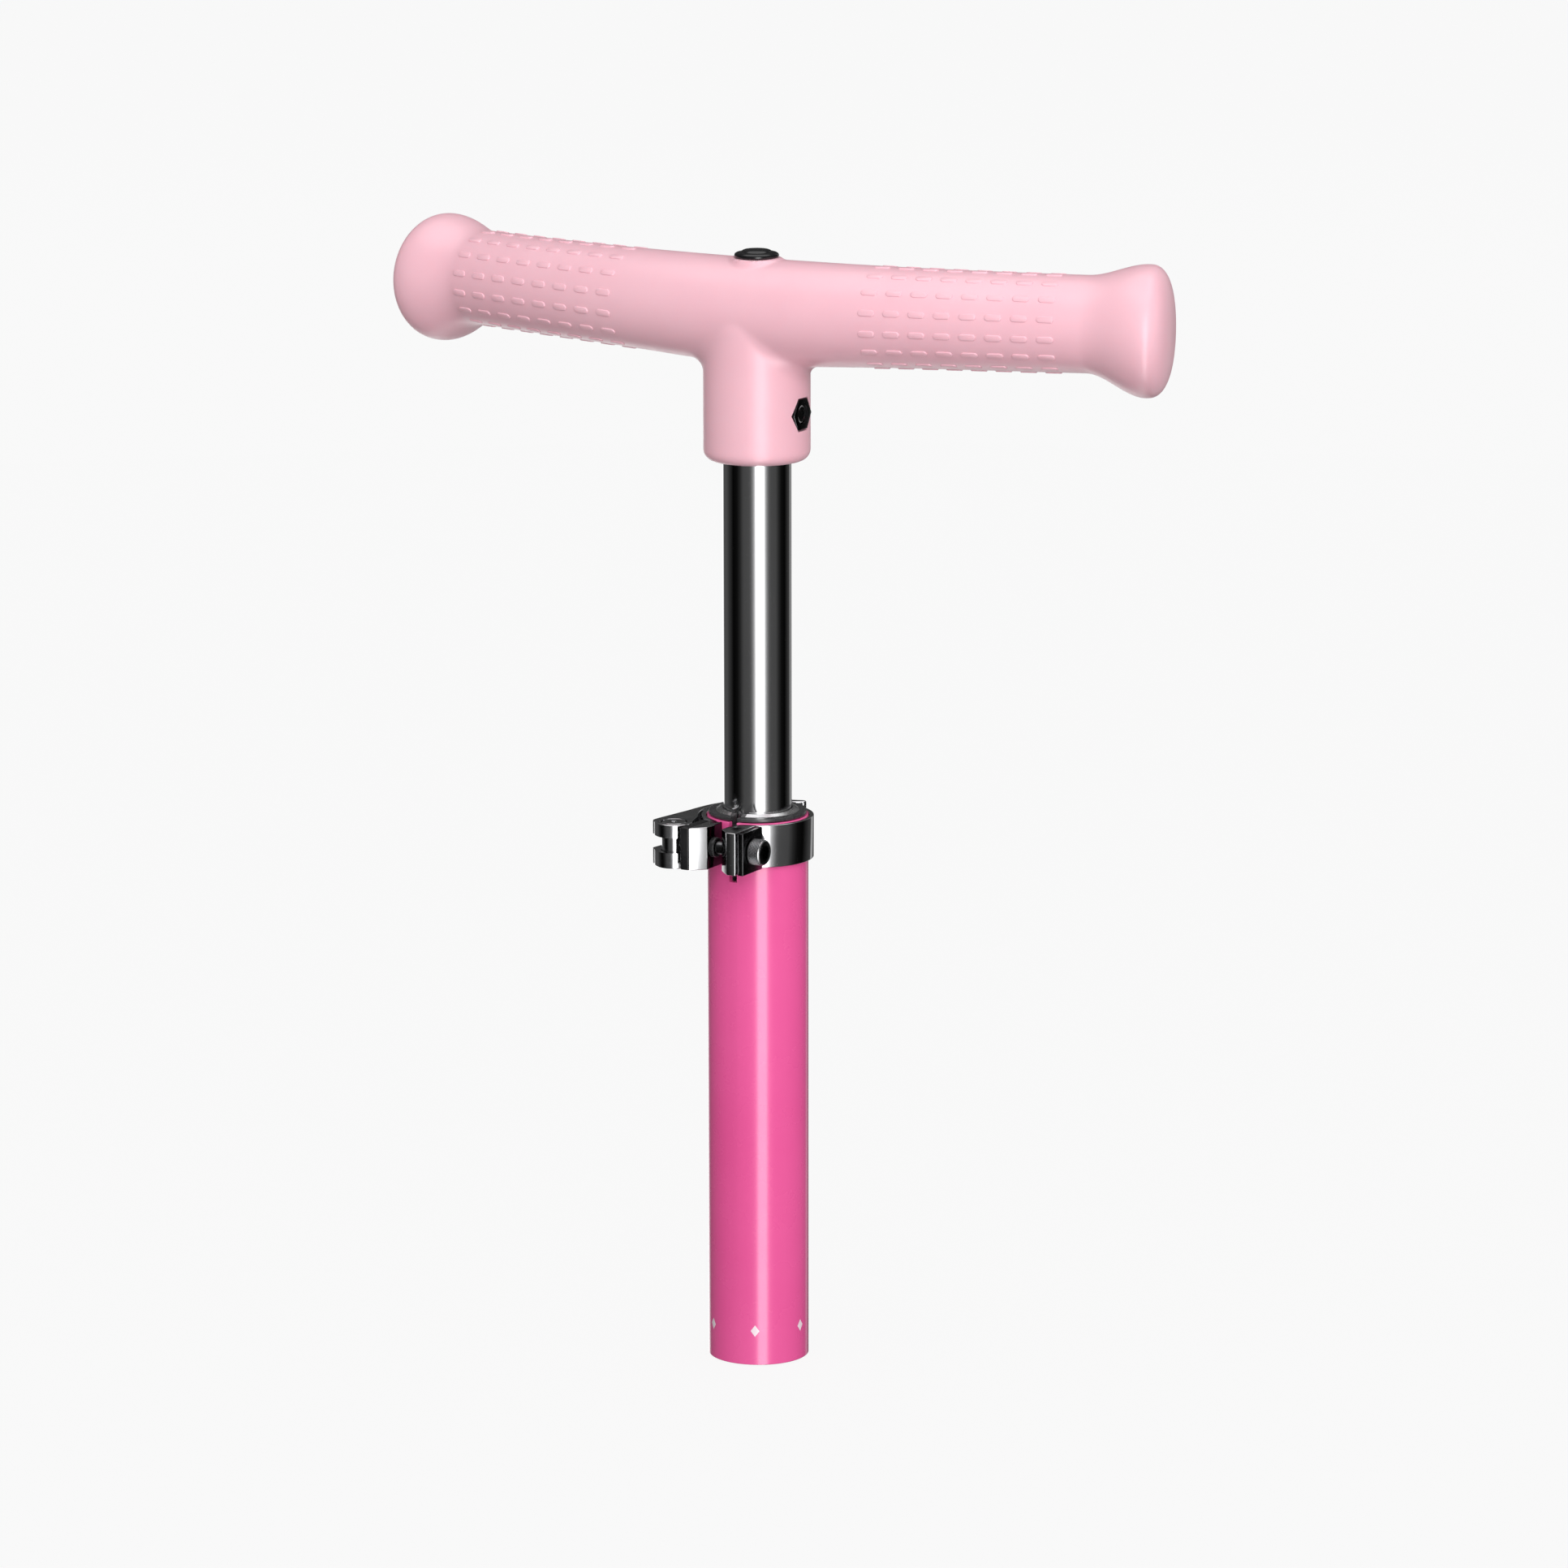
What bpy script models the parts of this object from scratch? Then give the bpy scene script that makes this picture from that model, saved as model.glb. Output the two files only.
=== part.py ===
"""Steering column of a child's kick scooter: T handlebar, telescopic tube and quick-release clamp.

+Z runs up the steering axis and X along the bar. The front, with the slit and the clamp bolt, is -Y.
The origin is on the axis, at the lower end of the outer tube. Driving dimensions are in millimetres.
"""

import math

import bmesh
import bpy
from mathutils import Matrix, Vector

MM = 0.001
GAP = 0.3  # clearance between neighbouring pieces

# Tubes
OUTER_R = 16.5
OUTER_WALL = 2.0
OUTER_TOP = 182.15
SLIT_WIDTH = 2.8
SLIT_BOTTOM = 162.4
INNER_R = 11.1
INNER_WALL = 1.5
INNER_BOTTOM = 112.0
INNER_TOP = 345.0

# Height lock: a sprung button at the back and seven holes, one for each height
HEIGHT_STEP = 18.0
HEIGHT_HOLES = 7
BUTTON_Z = 132.0
BUTTON_R = 3.4
BUTTON_TIP_Y = 17.9
BUTTON_FLANGE_R = 4.6

# Handlebar: a bar bent backwards in one plane, on a round stem
BAR_Z = 348.95
BAR_CURVATURE = 0.00243  # 1/mm
BAR_R = 15.25  # near the flares
BAR_SWELL = 1.9  # how much thicker the bar is in the middle
SWELL_REACH = 45.0  # where half of that is left
FLARE_R = 21.1
FLARE_START = 112.5
FLARE_PEAK = 131.7
FLARE_SQUARENESS = 2.6  # exponent of the end's rounding; 2 is an ellipse
BAR_HALF_LENGTH = 140.0
FLARE_DROP = 1.75
GRIP_WALL = 3.5
CORE_HALF_LENGTH = 122.0
CORE_WALL = 2.8
STEM_R = 17.3
STEM_BOTTOM = 298.9
STEM_FILLET = 3.6
CROTCH_WEB = 5.0
CROTCH_Z = 330.4  # the bar's underside beside the stem
CROSS_Z = 314.9
CAP_R = 7.2
CAP_SEAT_R = 8.4
CAP_SEAT_Z = 364.4

# Clamp
COLLAR_R = 18.3
COLLAR_BORE_R = 16.8
COLLAR_BOTTOM = 168.0
COLLAR_TOP = 182.0
LUG_FRONT_Y = -30.2
LEFT_CHAMFER = (4.6, 4.1)  # across and deep
RIGHT_CHAMFER = (4.2, 4.2)
RIGHT_LUG = (1.2, 8.5)
LEFT_LUG = (-8.6, -4.0)
SPACER_THICKNESS = 2.2
SPACER_FRONT_Y = -29.3
SHOE_THICKNESS = 2.9
BOLT_Y = -23.2
BOLT_Z = 175.1
BOLT_R = 2.2
BOLT_HEAD_R = 4.25
BOLT_HEAD_LENGTH = 4.5
PIVOT_X = -18.1
BARREL_R = 4.0
CAM_R = 6.0
HEAD_R = 7.6
LEVER_BOTTOM = 167.4
LEVER_TOP = 182.0
FORK_SLOT = 5.0
FORK_BACK_Y = -18.6
ARM_INNER_R = 19.4

RING_SEGMENTS = 32
TUBE_SEGMENTS = 48
SMALL_SEGMENTS = 24

OUTER_BORE_R = OUTER_R - OUTER_WALL
CORE_R = BAR_R - GRIP_WALL - GAP
CORE_STEM_R = STEM_R - GRIP_WALL + 0.7
TUBE_BORE_IN_CORE = INNER_R + GAP

COLOURS = {
    "grip_pink": ((0.93, 0.55, 0.62), 0.45, 0.0),
    "tube_pink": ((0.86, 0.11, 0.37), 0.25, 0.6),
    "chrome": ((0.60, 0.60, 0.62), 0.08, 1.0),
    "black_plastic": ((0.012, 0.012, 0.013), 0.35, 0.0),
    "grey_plastic": ((0.09, 0.09, 0.095), 0.55, 0.0),
    "core_plastic": ((0.70, 0.68, 0.64), 0.60, 0.0),
    "black_steel": ((0.03, 0.03, 0.032), 0.35, 0.9),
    "dark_metal": ((0.18, 0.18, 0.19), 0.25, 1.0),
    "spring_steel": ((0.45, 0.45, 0.46), 0.30, 1.0),
}


def clear_scene():
    """Remove everything that the scene holds."""
    for item in list(bpy.data.objects):
        bpy.data.objects.remove(item, do_unlink=True)


def material(name):
    """The named Principled material, made once."""
    if name in bpy.data.materials:
        return bpy.data.materials[name]
    colour, roughness, metallic = COLOURS[name]
    made = bpy.data.materials.new(name)
    made.use_nodes = True
    shader = made.node_tree.nodes["Principled BSDF"]
    shader.inputs["Base Color"].default_value = (*colour, 1.0)
    shader.inputs["Roughness"].default_value = roughness
    shader.inputs["Metallic"].default_value = metallic
    made.diffuse_color = (*colour, 1.0)
    return made


def pivot(name, location):
    """An empty on a joint's axis, which carries the pieces that move with it."""
    empty = bpy.data.objects.new(name, None)
    bpy.context.collection.objects.link(empty)
    empty.location = Vector(location) * MM
    return empty


def solid(name, bm, material_name=None, parent=None, location=(0, 0, 0)):
    """An object from a bmesh given in millimetres about its own location."""
    bmesh.ops.scale(bm, vec=(MM, MM, MM), verts=bm.verts)
    bmesh.ops.recalc_face_normals(bm, faces=bm.faces)
    mesh = bpy.data.meshes.new(name)
    bm.to_mesh(mesh)
    bm.free()
    mesh.shade_smooth()
    mesh.set_sharp_from_angle(angle=math.radians(35))
    made = bpy.data.objects.new(name, mesh)
    bpy.context.collection.objects.link(made)
    made.location = Vector(location) * MM
    made.parent = parent
    if material_name:
        mesh.materials.append(material(material_name))
    return made


def tool(name, target, bm, operation, location=(0, 0, 0)):
    """A hidden solid that a Boolean cuts from its target, or joins to it."""
    helper = solid(f"{target.name}_{name}", bm, parent=target.parent, location=location)
    helper.hide_render = True
    helper.display_type = "WIRE"
    step = target.modifiers.new(name, "BOOLEAN")
    step.operation = operation
    step.solver = "EXACT"
    step.object = helper


def cut(name, target, bm, location=(0, 0, 0)):
    """Take a shape out of the target."""
    tool(name, target, bm, "DIFFERENCE", location)


def join(name, target, bm, location=(0, 0, 0)):
    """Add a shape to the target."""
    tool(name, target, bm, "UNION", location)


def turned(profile, segments=TUBE_SEGMENTS, phase=0.0):
    """A solid of revolution about Z from (radius, z) points; radius 0 makes a pole."""
    bm = bmesh.new()
    rows = []
    for radius, z in profile:
        count = segments if radius else 1
        angles = [2 * math.pi * (k + phase) / segments for k in range(count)]
        rows.append([bm.verts.new((radius * math.cos(a), radius * math.sin(a), z)) for a in angles])
    for low, high in zip(rows, rows[1:] + rows[:1]):
        if len(low) + len(high) == 2:
            continue
        for k in range(segments):
            corners = [low[k % len(low)], low[(k + 1) % len(low)]]
            corners += [high[(k + 1) % len(high)], high[k % len(high)]]
            bm.faces.new(dict.fromkeys(corners))
    return bm


def rod(radius, start, end, axis="Z", segments=SMALL_SEGMENTS):
    """A plain cylinder from start to end along an axis through the local origin.

    Its corners stand a little off the axes, clear of the corners of the pieces that it cuts.
    """
    bm = turned([(0, start), (radius, start), (radius, end), (0, end)], segments, 0.4)
    turn = {"X": Matrix.Rotation(math.pi / 2, 3, "Y"), "Y": Matrix.Rotation(-math.pi / 2, 3, "X")}
    if axis in turn:
        bmesh.ops.rotate(bm, cent=(0, 0, 0), matrix=turn[axis], verts=bm.verts)
    return bm


def tube(radius, bore, start, end, segments=TUBE_SEGMENTS):
    """A plain tube along Z."""
    return turned([(bore, start), (radius, start), (radius, end), (bore, end)], segments)


def box(low, high):
    """A box between two corners."""
    bm = bmesh.new()
    bmesh.ops.create_cube(bm, size=1.0)
    size = [b - a for a, b in zip(low, high)]
    middle = [(a + b) / 2 for a, b in zip(low, high)]
    bmesh.ops.scale(bm, vec=size, verts=bm.verts)
    bmesh.ops.translate(bm, vec=middle, verts=bm.verts)
    return bm


def prism(outline, low, high):
    """An outline in the XY plane, extruded along Z."""
    bm = bmesh.new()
    base = bm.faces.new([bm.verts.new((x, y, low)) for x, y in outline])
    raised = bmesh.ops.extrude_face_region(bm, geom=[base])["geom"]
    moved = [item for item in raised if isinstance(item, bmesh.types.BMVert)]
    bmesh.ops.translate(bm, vec=(0, 0, high - low), verts=moved)
    return bm


def hexagon(across_flats, start, end):
    """A hexagonal bar along X with two corners pointing along Y."""
    radius = across_flats / math.sqrt(3)
    corners = [(radius * math.cos(math.pi * k / 3), radius * math.sin(math.pi * k / 3)) for k in range(6)]
    bm = prism(corners, start, end)
    swap = Matrix(((0, 0, 1), (1, 0, 0), (0, 1, 0)))
    bmesh.ops.transform(bm, matrix=swap.to_4x4(), verts=bm.verts)
    return bm


def arc(radius, start, end, steps, centre=(0, 0)):
    """Points on a circle between two angles in degrees, both ends included."""
    angles = [math.radians(start + (end - start) * k / steps) for k in range(steps + 1)]
    return [(centre[0] + radius * math.cos(a), centre[1] + radius * math.sin(a)) for a in angles]


def lofted(rings):
    """A skin over closed rings of equal length, with flat ends."""
    bm = bmesh.new()
    rows = [[bm.verts.new(point) for point in ring] for ring in rings]
    for low, high in zip(rows, rows[1:]):
        for k, corner in enumerate(low):
            after = (k + 1) % len(low)
            bm.faces.new((corner, low[after], high[after], high[k]))
    bm.faces.new(rows[0])
    bm.faces.new(reversed(rows[-1]))
    return bm


def bar_ring(along, radius, drop=0.0):
    """A circle across the bar at a distance along its curved centre line."""
    turn = BAR_CURVATURE * along
    x = math.sin(turn) / BAR_CURVATURE
    y = (1 - math.cos(turn)) / BAR_CURVATURE
    ring = []
    for k in range(RING_SEGMENTS):
        a = 2 * math.pi * k / RING_SEGMENTS
        side = radius * math.cos(a)
        ring.append((x - side * math.sin(turn), y + side * math.cos(turn), BAR_Z - drop + radius * math.sin(a)))
    return ring


def ease(share):
    """A smooth step from 0 to 1."""
    share = min(max(share, 0.0), 1.0)
    return share * share * (3 - 2 * share)


def swell(along):
    """How much thicker the bar is than near its flares."""
    return BAR_SWELL / (1 + (along / SWELL_REACH) ** 2)


def grip_radius(along):
    """The bar's outer radius: thickest in the middle, then flaring into the rounded end."""
    distance = abs(along)
    if distance <= FLARE_PEAK:
        plain = BAR_R + swell(along)
        return plain + (FLARE_R - plain) * ease((distance - FLARE_START) / (FLARE_PEAK - FLARE_START))
    share = (distance - FLARE_PEAK) / (BAR_HALF_LENGTH - FLARE_PEAK)
    return FLARE_R * max(1 - share**FLARE_SQUARENESS, 0.0) ** (1 / FLARE_SQUARENESS)


def grip_drop(along):
    """How far the grip's centre line lies below BAR_Z: its top stays level, and its flares hang."""
    return swell(along) + FLARE_DROP * ease((abs(along) - FLARE_START) / (FLARE_PEAK - FLARE_START))


def grip_stations():
    """Distances along half the bar: wide steps on the plain part, fine ones on the flare."""
    plain = [FLARE_START * k / 8 for k in range(9)]
    swelling = [FLARE_START + (FLARE_PEAK - FLARE_START) * k / 7 for k in range(1, 8)]
    rounding = [0.35, 0.62, 0.80, 0.91, 0.97, 0.995]
    ends = [FLARE_PEAK + (BAR_HALF_LENGTH - FLARE_PEAK) * share for share in rounding]
    return plain + swelling + ends


def grip_bar():
    """The outer shape of the bar."""
    half = grip_stations()
    stations = [-u for u in reversed(half[1:])] + half
    return lofted([bar_ring(u, grip_radius(u), grip_drop(u)) for u in stations])


def plain_bar(radius, start, end, steps):
    """A round bar of even radius along part of the curved centre line."""
    stations = [start + (end - start) * k / steps for k in range(steps + 1)]
    return lofted([bar_ring(u, radius) for u in stations])


def stem(radius, bottom, bar_radius, fillet=0.0, web=0.0):
    """A round stem that rises into the bar and closes inside it in a dome.

    fillet rounds its foot, and web fills the corners between the stem and the bar's two arms.
    """
    profile = [(0, bottom)]
    rounding = [(radius - fillet * (1 - math.sin(a)), bottom + fillet * (1 - math.cos(a)))
                for a in [math.radians(d) for d in (0, 30, 60, 90)]]
    profile += rounding if fillet else [(radius, bottom)]
    if web:
        profile += [(radius, CROTCH_Z - web * (1 - math.sin(math.radians(a)))) for a in (0, 25, 45, 62, 77, 90)]
    shoulder = BAR_Z - 8
    top = BAR_Z + bar_radius - 1.5
    for k in range(7):
        a = math.radians(90 * k / 7)
        profile.append((radius * math.cos(a), shoulder + (top - shoulder) * math.sin(a)))
    profile.append((0, top))
    bm = turned(profile, TUBE_SEGMENTS)
    for corner in bm.verts:
        rise = min(max(corner.co.z - (CROTCH_Z - web), 0.0), web)
        corner.co.x *= 1 + (web - math.sqrt(web**2 - rise**2)) / radius
    return bm


def make_outer_tube():
    """The lower, fixed tube, with the clamp's slit in front and the lock's holes behind."""
    piece = solid("outer_tube", tube(OUTER_R, OUTER_BORE_R, 0, OUTER_TOP), "tube_pink")
    half = SLIT_WIDTH / 2
    cut("slit", piece, box((-half, -OUTER_R - 2, SLIT_BOTTOM), (half, -INNER_R, OUTER_TOP + 2)))
    for k in range(HEIGHT_HOLES):
        height = BUTTON_Z - HEIGHT_STEP * k
        cut(f"hole_{k + 1}", piece, rod(BUTTON_R + GAP, INNER_R, OUTER_R + 3, "Y"), (0, 0, height))


def make_upper_bushing():
    """The flanged guide between the tubes, slit so that the clamp can squeeze it."""
    bore, body, flange = INNER_R + GAP, OUTER_BORE_R - GAP, 15.95
    under, ledge, top = OUTER_TOP + GAP, OUTER_TOP + 1.45, OUTER_TOP + 2.35
    bottom = BUTTON_Z + BUTTON_FLANGE_R + 1.4
    profile = [(bore, bottom), (body, bottom), (body, under), (flange, under)]
    profile += [(flange, ledge - 0.25), (flange - 0.25, ledge), (13.65, ledge), (12.3, top), (bore, top)]
    piece = solid("upper_bushing", turned(profile), "grey_plastic")
    half = SLIT_WIDTH / 2 - 0.1
    cut("slit", piece, box((-half, -OUTER_R - 2, bottom - 2), (half, -bore + 3, top + 2)))


def collar_outline():
    """The split ring with its two lugs, seen from above."""
    def on_circle(radius, x):
        return math.degrees(math.atan2(-math.sqrt(radius**2 - x**2), x))

    bore_start, bore_end = on_circle(COLLAR_BORE_R, RIGHT_LUG[0]), on_circle(COLLAR_BORE_R, LEFT_LUG[1]) + 360
    ring_start, ring_end = on_circle(COLLAR_R, LEFT_LUG[0]) + 360, on_circle(COLLAR_R, RIGHT_LUG[1])
    outline = arc(COLLAR_BORE_R, bore_start, bore_end, 42)
    outline += [(LEFT_LUG[1], LUG_FRONT_Y + LEFT_CHAMFER[1]), (LEFT_LUG[1] - LEFT_CHAMFER[0], LUG_FRONT_Y)]
    outline += arc(COLLAR_R, ring_start, ring_end, 40)
    outline += [(RIGHT_LUG[1], LUG_FRONT_Y), (RIGHT_LUG[0] + RIGHT_CHAMFER[0], LUG_FRONT_Y)]
    outline.append((RIGHT_LUG[0], LUG_FRONT_Y + RIGHT_CHAMFER[1]))
    return outline


def make_clamp():
    """The collar, the plates on its lugs, the bolt and its keeper ring."""
    along_bolt = (0, BOLT_Y, BOLT_Z)
    hole = BOLT_R + GAP + 0.05
    collar = solid("clamp_collar", prism(collar_outline(), COLLAR_BOTTOM, COLLAR_TOP), "dark_metal")
    cut("bolt_hole", collar, rod(hole, -15, 15, "X"), along_bolt)

    start, end = RIGHT_LUG[1] + GAP, RIGHT_LUG[1] + GAP + SPACER_THICKNESS
    shape = box((start, SPACER_FRONT_Y, COLLAR_BOTTOM), (end, -COLLAR_R + 1.9, COLLAR_TOP))
    spacer = solid("clamp_spacer", shape, "black_steel")
    cut("bolt_hole", spacer, rod(hole, -15, 15, "X"), along_bolt)

    right = LEFT_LUG[0] - GAP
    shape = box((right - SHOE_THICKNESS, LUG_FRONT_Y, COLLAR_BOTTOM), (right, -COLLAR_R + 1.9, COLLAR_TOP))
    shoe = solid("clamp_shoe", shape, "black_plastic")
    cut("bolt_hole", shoe, rod(hole, -15, 15, "X"), along_bolt)

    head = end + GAP
    bolt = solid("clamp_bolt", rod(BOLT_HEAD_R, head, head + BOLT_HEAD_LENGTH, "X"), "black_steel", None, along_bolt)
    join("shank", bolt, rod(BOLT_R, PIVOT_X - 2.7, head + 1, "X"), along_bolt)
    cut("socket", bolt, hexagon(4.0, head + 2.4, head + BOLT_HEAD_LENGTH + 1), along_bolt)

    ring = tube(3.3, BOLT_R + GAP, 0, 1.9, SMALL_SEGMENTS)
    bmesh.ops.rotate(ring, cent=(0, 0, 0), matrix=Matrix.Rotation(math.pi / 2, 3, "Y"), verts=ring.verts)
    solid("bolt_keeper_ring", ring, "black_plastic", None, (LEFT_LUG[1] + GAP, BOLT_Y, BOLT_Z))


def make_barrel_nut():
    """The cross nut that the bolt screws into, and that the lever turns on."""
    piece = solid("barrel_nut", rod(BARREL_R, LEVER_BOTTOM, LEVER_TOP), "dark_metal", None, (PIVOT_X, BOLT_Y, 0))
    cut("thread", piece, rod(BOLT_R + GAP, -3.0, 6.0, "X"), (PIVOT_X, BOLT_Y, BOLT_Z))


def lever_outline():
    """The lever from above: a cam head, and an arm that wraps round the collar to a finger tip."""
    centre = (PIVOT_X, BOLT_Y)
    cam = arc(CAM_R, 38, -130, 14, centre)
    swell = [(PIVOT_X + r * math.cos(math.radians(a)), BOLT_Y + r * math.sin(math.radians(a)))
             for a, r in ((-145, CAM_R + 0.25), (-160, CAM_R + 0.5), (-175, HEAD_R), (170, HEAD_R + 0.1))]
    outer = [(-25.0, -17.5), (-23.2, -7.0), (-21.7, 3.0), (-19.5, 9.6), (-15.8, 15.8), (-10.8, 20.4)]
    outer += [(-5.0, 23.4), (0.2, 25.1), (2.8, 25.9)]
    tip = arc(1.2, 75, -75, 5, (3.1, 24.7))
    inner = [(1.4, 22.2), (-1.0, 20.5)]
    inner += arc(ARM_INNER_R, 97, 214, 18)
    return cam + swell + outer + tip + inner


def make_cam_lever():
    """The quick-release lever: its head is forked round the barrel nut, so the bolt can pass."""
    frame = pivot("cam_lever_pivot", (PIVOT_X, BOLT_Y, 0))
    local = [(x - PIVOT_X, y - BOLT_Y) for x, y in lever_outline()]
    piece = solid("cam_lever", prism(local, LEVER_BOTTOM, LEVER_TOP), "dark_metal", frame)
    cut("pivot_bore", piece, rod(BARREL_R + GAP, LEVER_BOTTOM - 2, LEVER_TOP + 2))
    low, high = BOLT_Z - FORK_SLOT / 2, BOLT_Z + FORK_SLOT / 2
    cut("fork_slot", piece, box((-12, -12, low), (12, FORK_BACK_Y - BOLT_Y, high)))


def make_inner_tube(frame):
    """The telescopic tube, with holes for the cross bolt and the height button."""
    piece = solid("inner_tube", tube(INNER_R, INNER_R - INNER_WALL, INNER_BOTTOM, INNER_TOP), "chrome", frame)
    cut("cross_hole", piece, rod(3.4, -INNER_R - 3, INNER_R + 3, "X"), (0, 0, CROSS_Z))
    cut("button_hole", piece, rod(BUTTON_R + GAP, INNER_R - 5, INNER_R + 3, "Y"), (0, 0, BUTTON_Z))


def make_guide_sleeve(frame):
    """The cup pressed on the lower end of the inner tube, which runs in the outer tube."""
    outer, inner = OUTER_BORE_R - GAP, INNER_R + GAP
    seat = INNER_BOTTOM - GAP
    floor = seat - 2.0
    profile = [(5, floor), (outer - 0.8, floor), (outer, floor + 0.8), (outer, floor + 13)]
    profile += [(inner, floor + 13), (inner, seat), (5, seat)]
    solid("guide_sleeve", turned(profile), "grey_plastic", frame)


def make_height_button(frame):
    """The sprung button behind the inner tube, and the bent leaf spring that pushes it out."""
    slider = pivot("height_button_pivot", (0, 0, BUTTON_Z))
    slider.parent = frame
    back, seat, dome = 6.6, 8.1, BUTTON_TIP_Y - 1.6
    profile = [(0, back), (BUTTON_FLANGE_R, back), (BUTTON_FLANGE_R, seat), (BUTTON_R, seat)]
    profile += [(BUTTON_R, dome), (BUTTON_R - 0.5, dome + 0.9), (BUTTON_R - 1.6, BUTTON_TIP_Y), (0, BUTTON_TIP_Y)]
    bm = turned(profile, SMALL_SEGMENTS)
    bmesh.ops.rotate(bm, cent=(0, 0, 0), matrix=Matrix.Rotation(-math.pi / 2, 3, "X"), verts=bm.verts)
    solid("height_button", bm, "dark_metal", slider)

    sheet, half_width = 0.5, 2.5
    front, rear = back - GAP - sheet, -(INNER_R - INNER_WALL) + 0.8
    spine = [(front, 4.0), (front, -4.0), (front - 2.2, -12.0), (front - 6.0, -15.0)]
    spine += [(rear + 2.4, -13.6), (rear, -9.0), (rear, 6.0)]
    solid("button_spring", strip(spine, sheet, half_width), "spring_steel", frame, (0, 0, BUTTON_Z))


def strip(spine, thickness, half_width):
    """A bent sheet-metal strip: a (y, z) line with thickness, extruded along X."""
    left, right = [], []
    for k, point in enumerate(spine):
        before, after = Vector(spine[max(k - 1, 0)]), Vector(spine[min(k + 1, len(spine) - 1)])
        along = (after - before).normalized()
        side = Vector((along.y, -along.x)) * thickness / 2
        left.append(Vector(point) + side)
        right.append(Vector(point) - side)
    bm = prism([tuple(p) for p in left + right[::-1]], -half_width, half_width)
    swap = Matrix(((0, 0, 1), (1, 0, 0), (0, 1, 0)))
    bmesh.ops.transform(bm, matrix=swap.to_4x4(), verts=bm.verts)
    return bm


def make_handlebar(frame):
    """The stiff core and the soft grip moulded over it."""
    core = solid("handlebar_core", plain_bar(CORE_R, -CORE_HALF_LENGTH, CORE_HALF_LENGTH, 14), "core_plastic", frame)
    join("stem", core, stem(CORE_STEM_R, STEM_BOTTOM + 2.8, CORE_R))
    cut("bore", core, rod(TUBE_BORE_IN_CORE, STEM_BOTTOM - 5, INNER_TOP + GAP, "Z", TUBE_SEGMENTS))
    for side, sign in (("left", -1), ("right", 1)):
        hollow = plain_bar(CORE_R - CORE_WALL, sign * 10.8, sign * (CORE_HALF_LENGTH - 4), 7)
        cut(f"{side}_hollow", core, hollow)

    grip = solid("handlebar_grip", grip_bar(), "grip_pink", frame)
    join("stem", grip, stem(STEM_R, STEM_BOTTOM, BAR_R, STEM_FILLET, CROTCH_WEB))
    join("cap_seat", grip, rod(CAP_SEAT_R, CAP_SEAT_Z - 6, CAP_SEAT_Z))
    room = CORE_HALF_LENGTH + GAP
    cut("core_room", grip, plain_bar(CORE_R + GAP, -room, room, 14))
    cut("stem_room", grip, stem(CORE_STEM_R + GAP, STEM_BOTTOM + 2.5, CORE_R + GAP))
    cut("bore", grip, rod(TUBE_BORE_IN_CORE, STEM_BOTTOM - 5, STEM_BOTTOM + 6, "Z", TUBE_SEGMENTS))

    for piece in (core, grip):
        cut("cross_hole", piece, rod(3.4, -STEM_R - 2, STEM_R + 2, "X"), (0, 0, CROSS_Z))
        cut("nut_pocket", piece, hexagon(10.8, 13.1, STEM_R + 2), (0, 0, CROSS_Z))
        cut("head_pocket", piece, rod(5.8, -STEM_R - 2, -13.1, "X"), (0, 0, CROSS_Z))
        cut("cap_hole", piece, rod(4.3, 352, 372), (0, 0, 0))


def make_cross_bolt(frame):
    """The button-head bolt and the nut that hold the handlebar on the inner tube."""
    seat = 13.1 + GAP
    head = [(0, -seat - 3.2), (2.6, -seat - 3.2), (4.4, -seat - 2.3), (5.25, -seat - 0.6), (5.25, -seat)]
    bm = turned(head + [(3.0, -seat), (3.0, STEM_R - 1.2), (2.5, STEM_R - 0.7), (0, STEM_R - 0.7)], SMALL_SEGMENTS)
    bmesh.ops.rotate(bm, cent=(0, 0, 0), matrix=Matrix.Rotation(math.pi / 2, 3, "Y"), verts=bm.verts)
    bolt = solid("cross_bolt", bm, "black_steel", frame, (0, 0, CROSS_Z))
    cut("socket", bolt, hexagon(4.0, -seat - 5, -seat - 1.4), (0, 0, CROSS_Z))
    nut = solid("cross_nut", hexagon(10.0, seat, seat + 3.6), "black_steel", frame, (0, 0, CROSS_Z))
    cut("thread", nut, rod(3.0 + GAP, 0, 30, "X"), (0, 0, CROSS_Z))


def make_top_cap(frame):
    """The domed plug that closes the core's moulding hole."""
    seat = CAP_SEAT_Z + GAP
    profile = [(0, 353), (3.6, 353), (4.0, 353.6), (4.0, seat), (CAP_R, seat), (CAP_R, seat + 0.9)]
    profile += [(CAP_R - 0.5, seat + 1.4), (CAP_R - 2.2, seat + 1.7), (CAP_R - 2.6, seat + 2.1)]
    profile += [(2.6, seat + 2.5), (0, seat + 2.6)]
    solid("top_cap", turned(profile, RING_SEGMENTS), "black_plastic", frame)


def main():
    clear_scene()
    height = pivot("height_pivot", (0, 0, 0))
    make_outer_tube()
    make_upper_bushing()
    make_clamp()
    make_barrel_nut()
    make_cam_lever()
    make_inner_tube(height)
    make_guide_sleeve(height)
    make_height_button(height)
    make_handlebar(height)
    make_cross_bolt(height)
    make_top_cap(height)
    bpy.context.view_layer.update()


main()
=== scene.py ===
"""Looks of the steering column: soft pink T grip, chromed tube, quick-release clamp and pink outer tube.

Lengths are in millimetres in the making of a mesh, and become metres when the piece is placed.
"""

import math

import bmesh
import bpy
import numpy as np
from mathutils import Matrix, Vector


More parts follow.
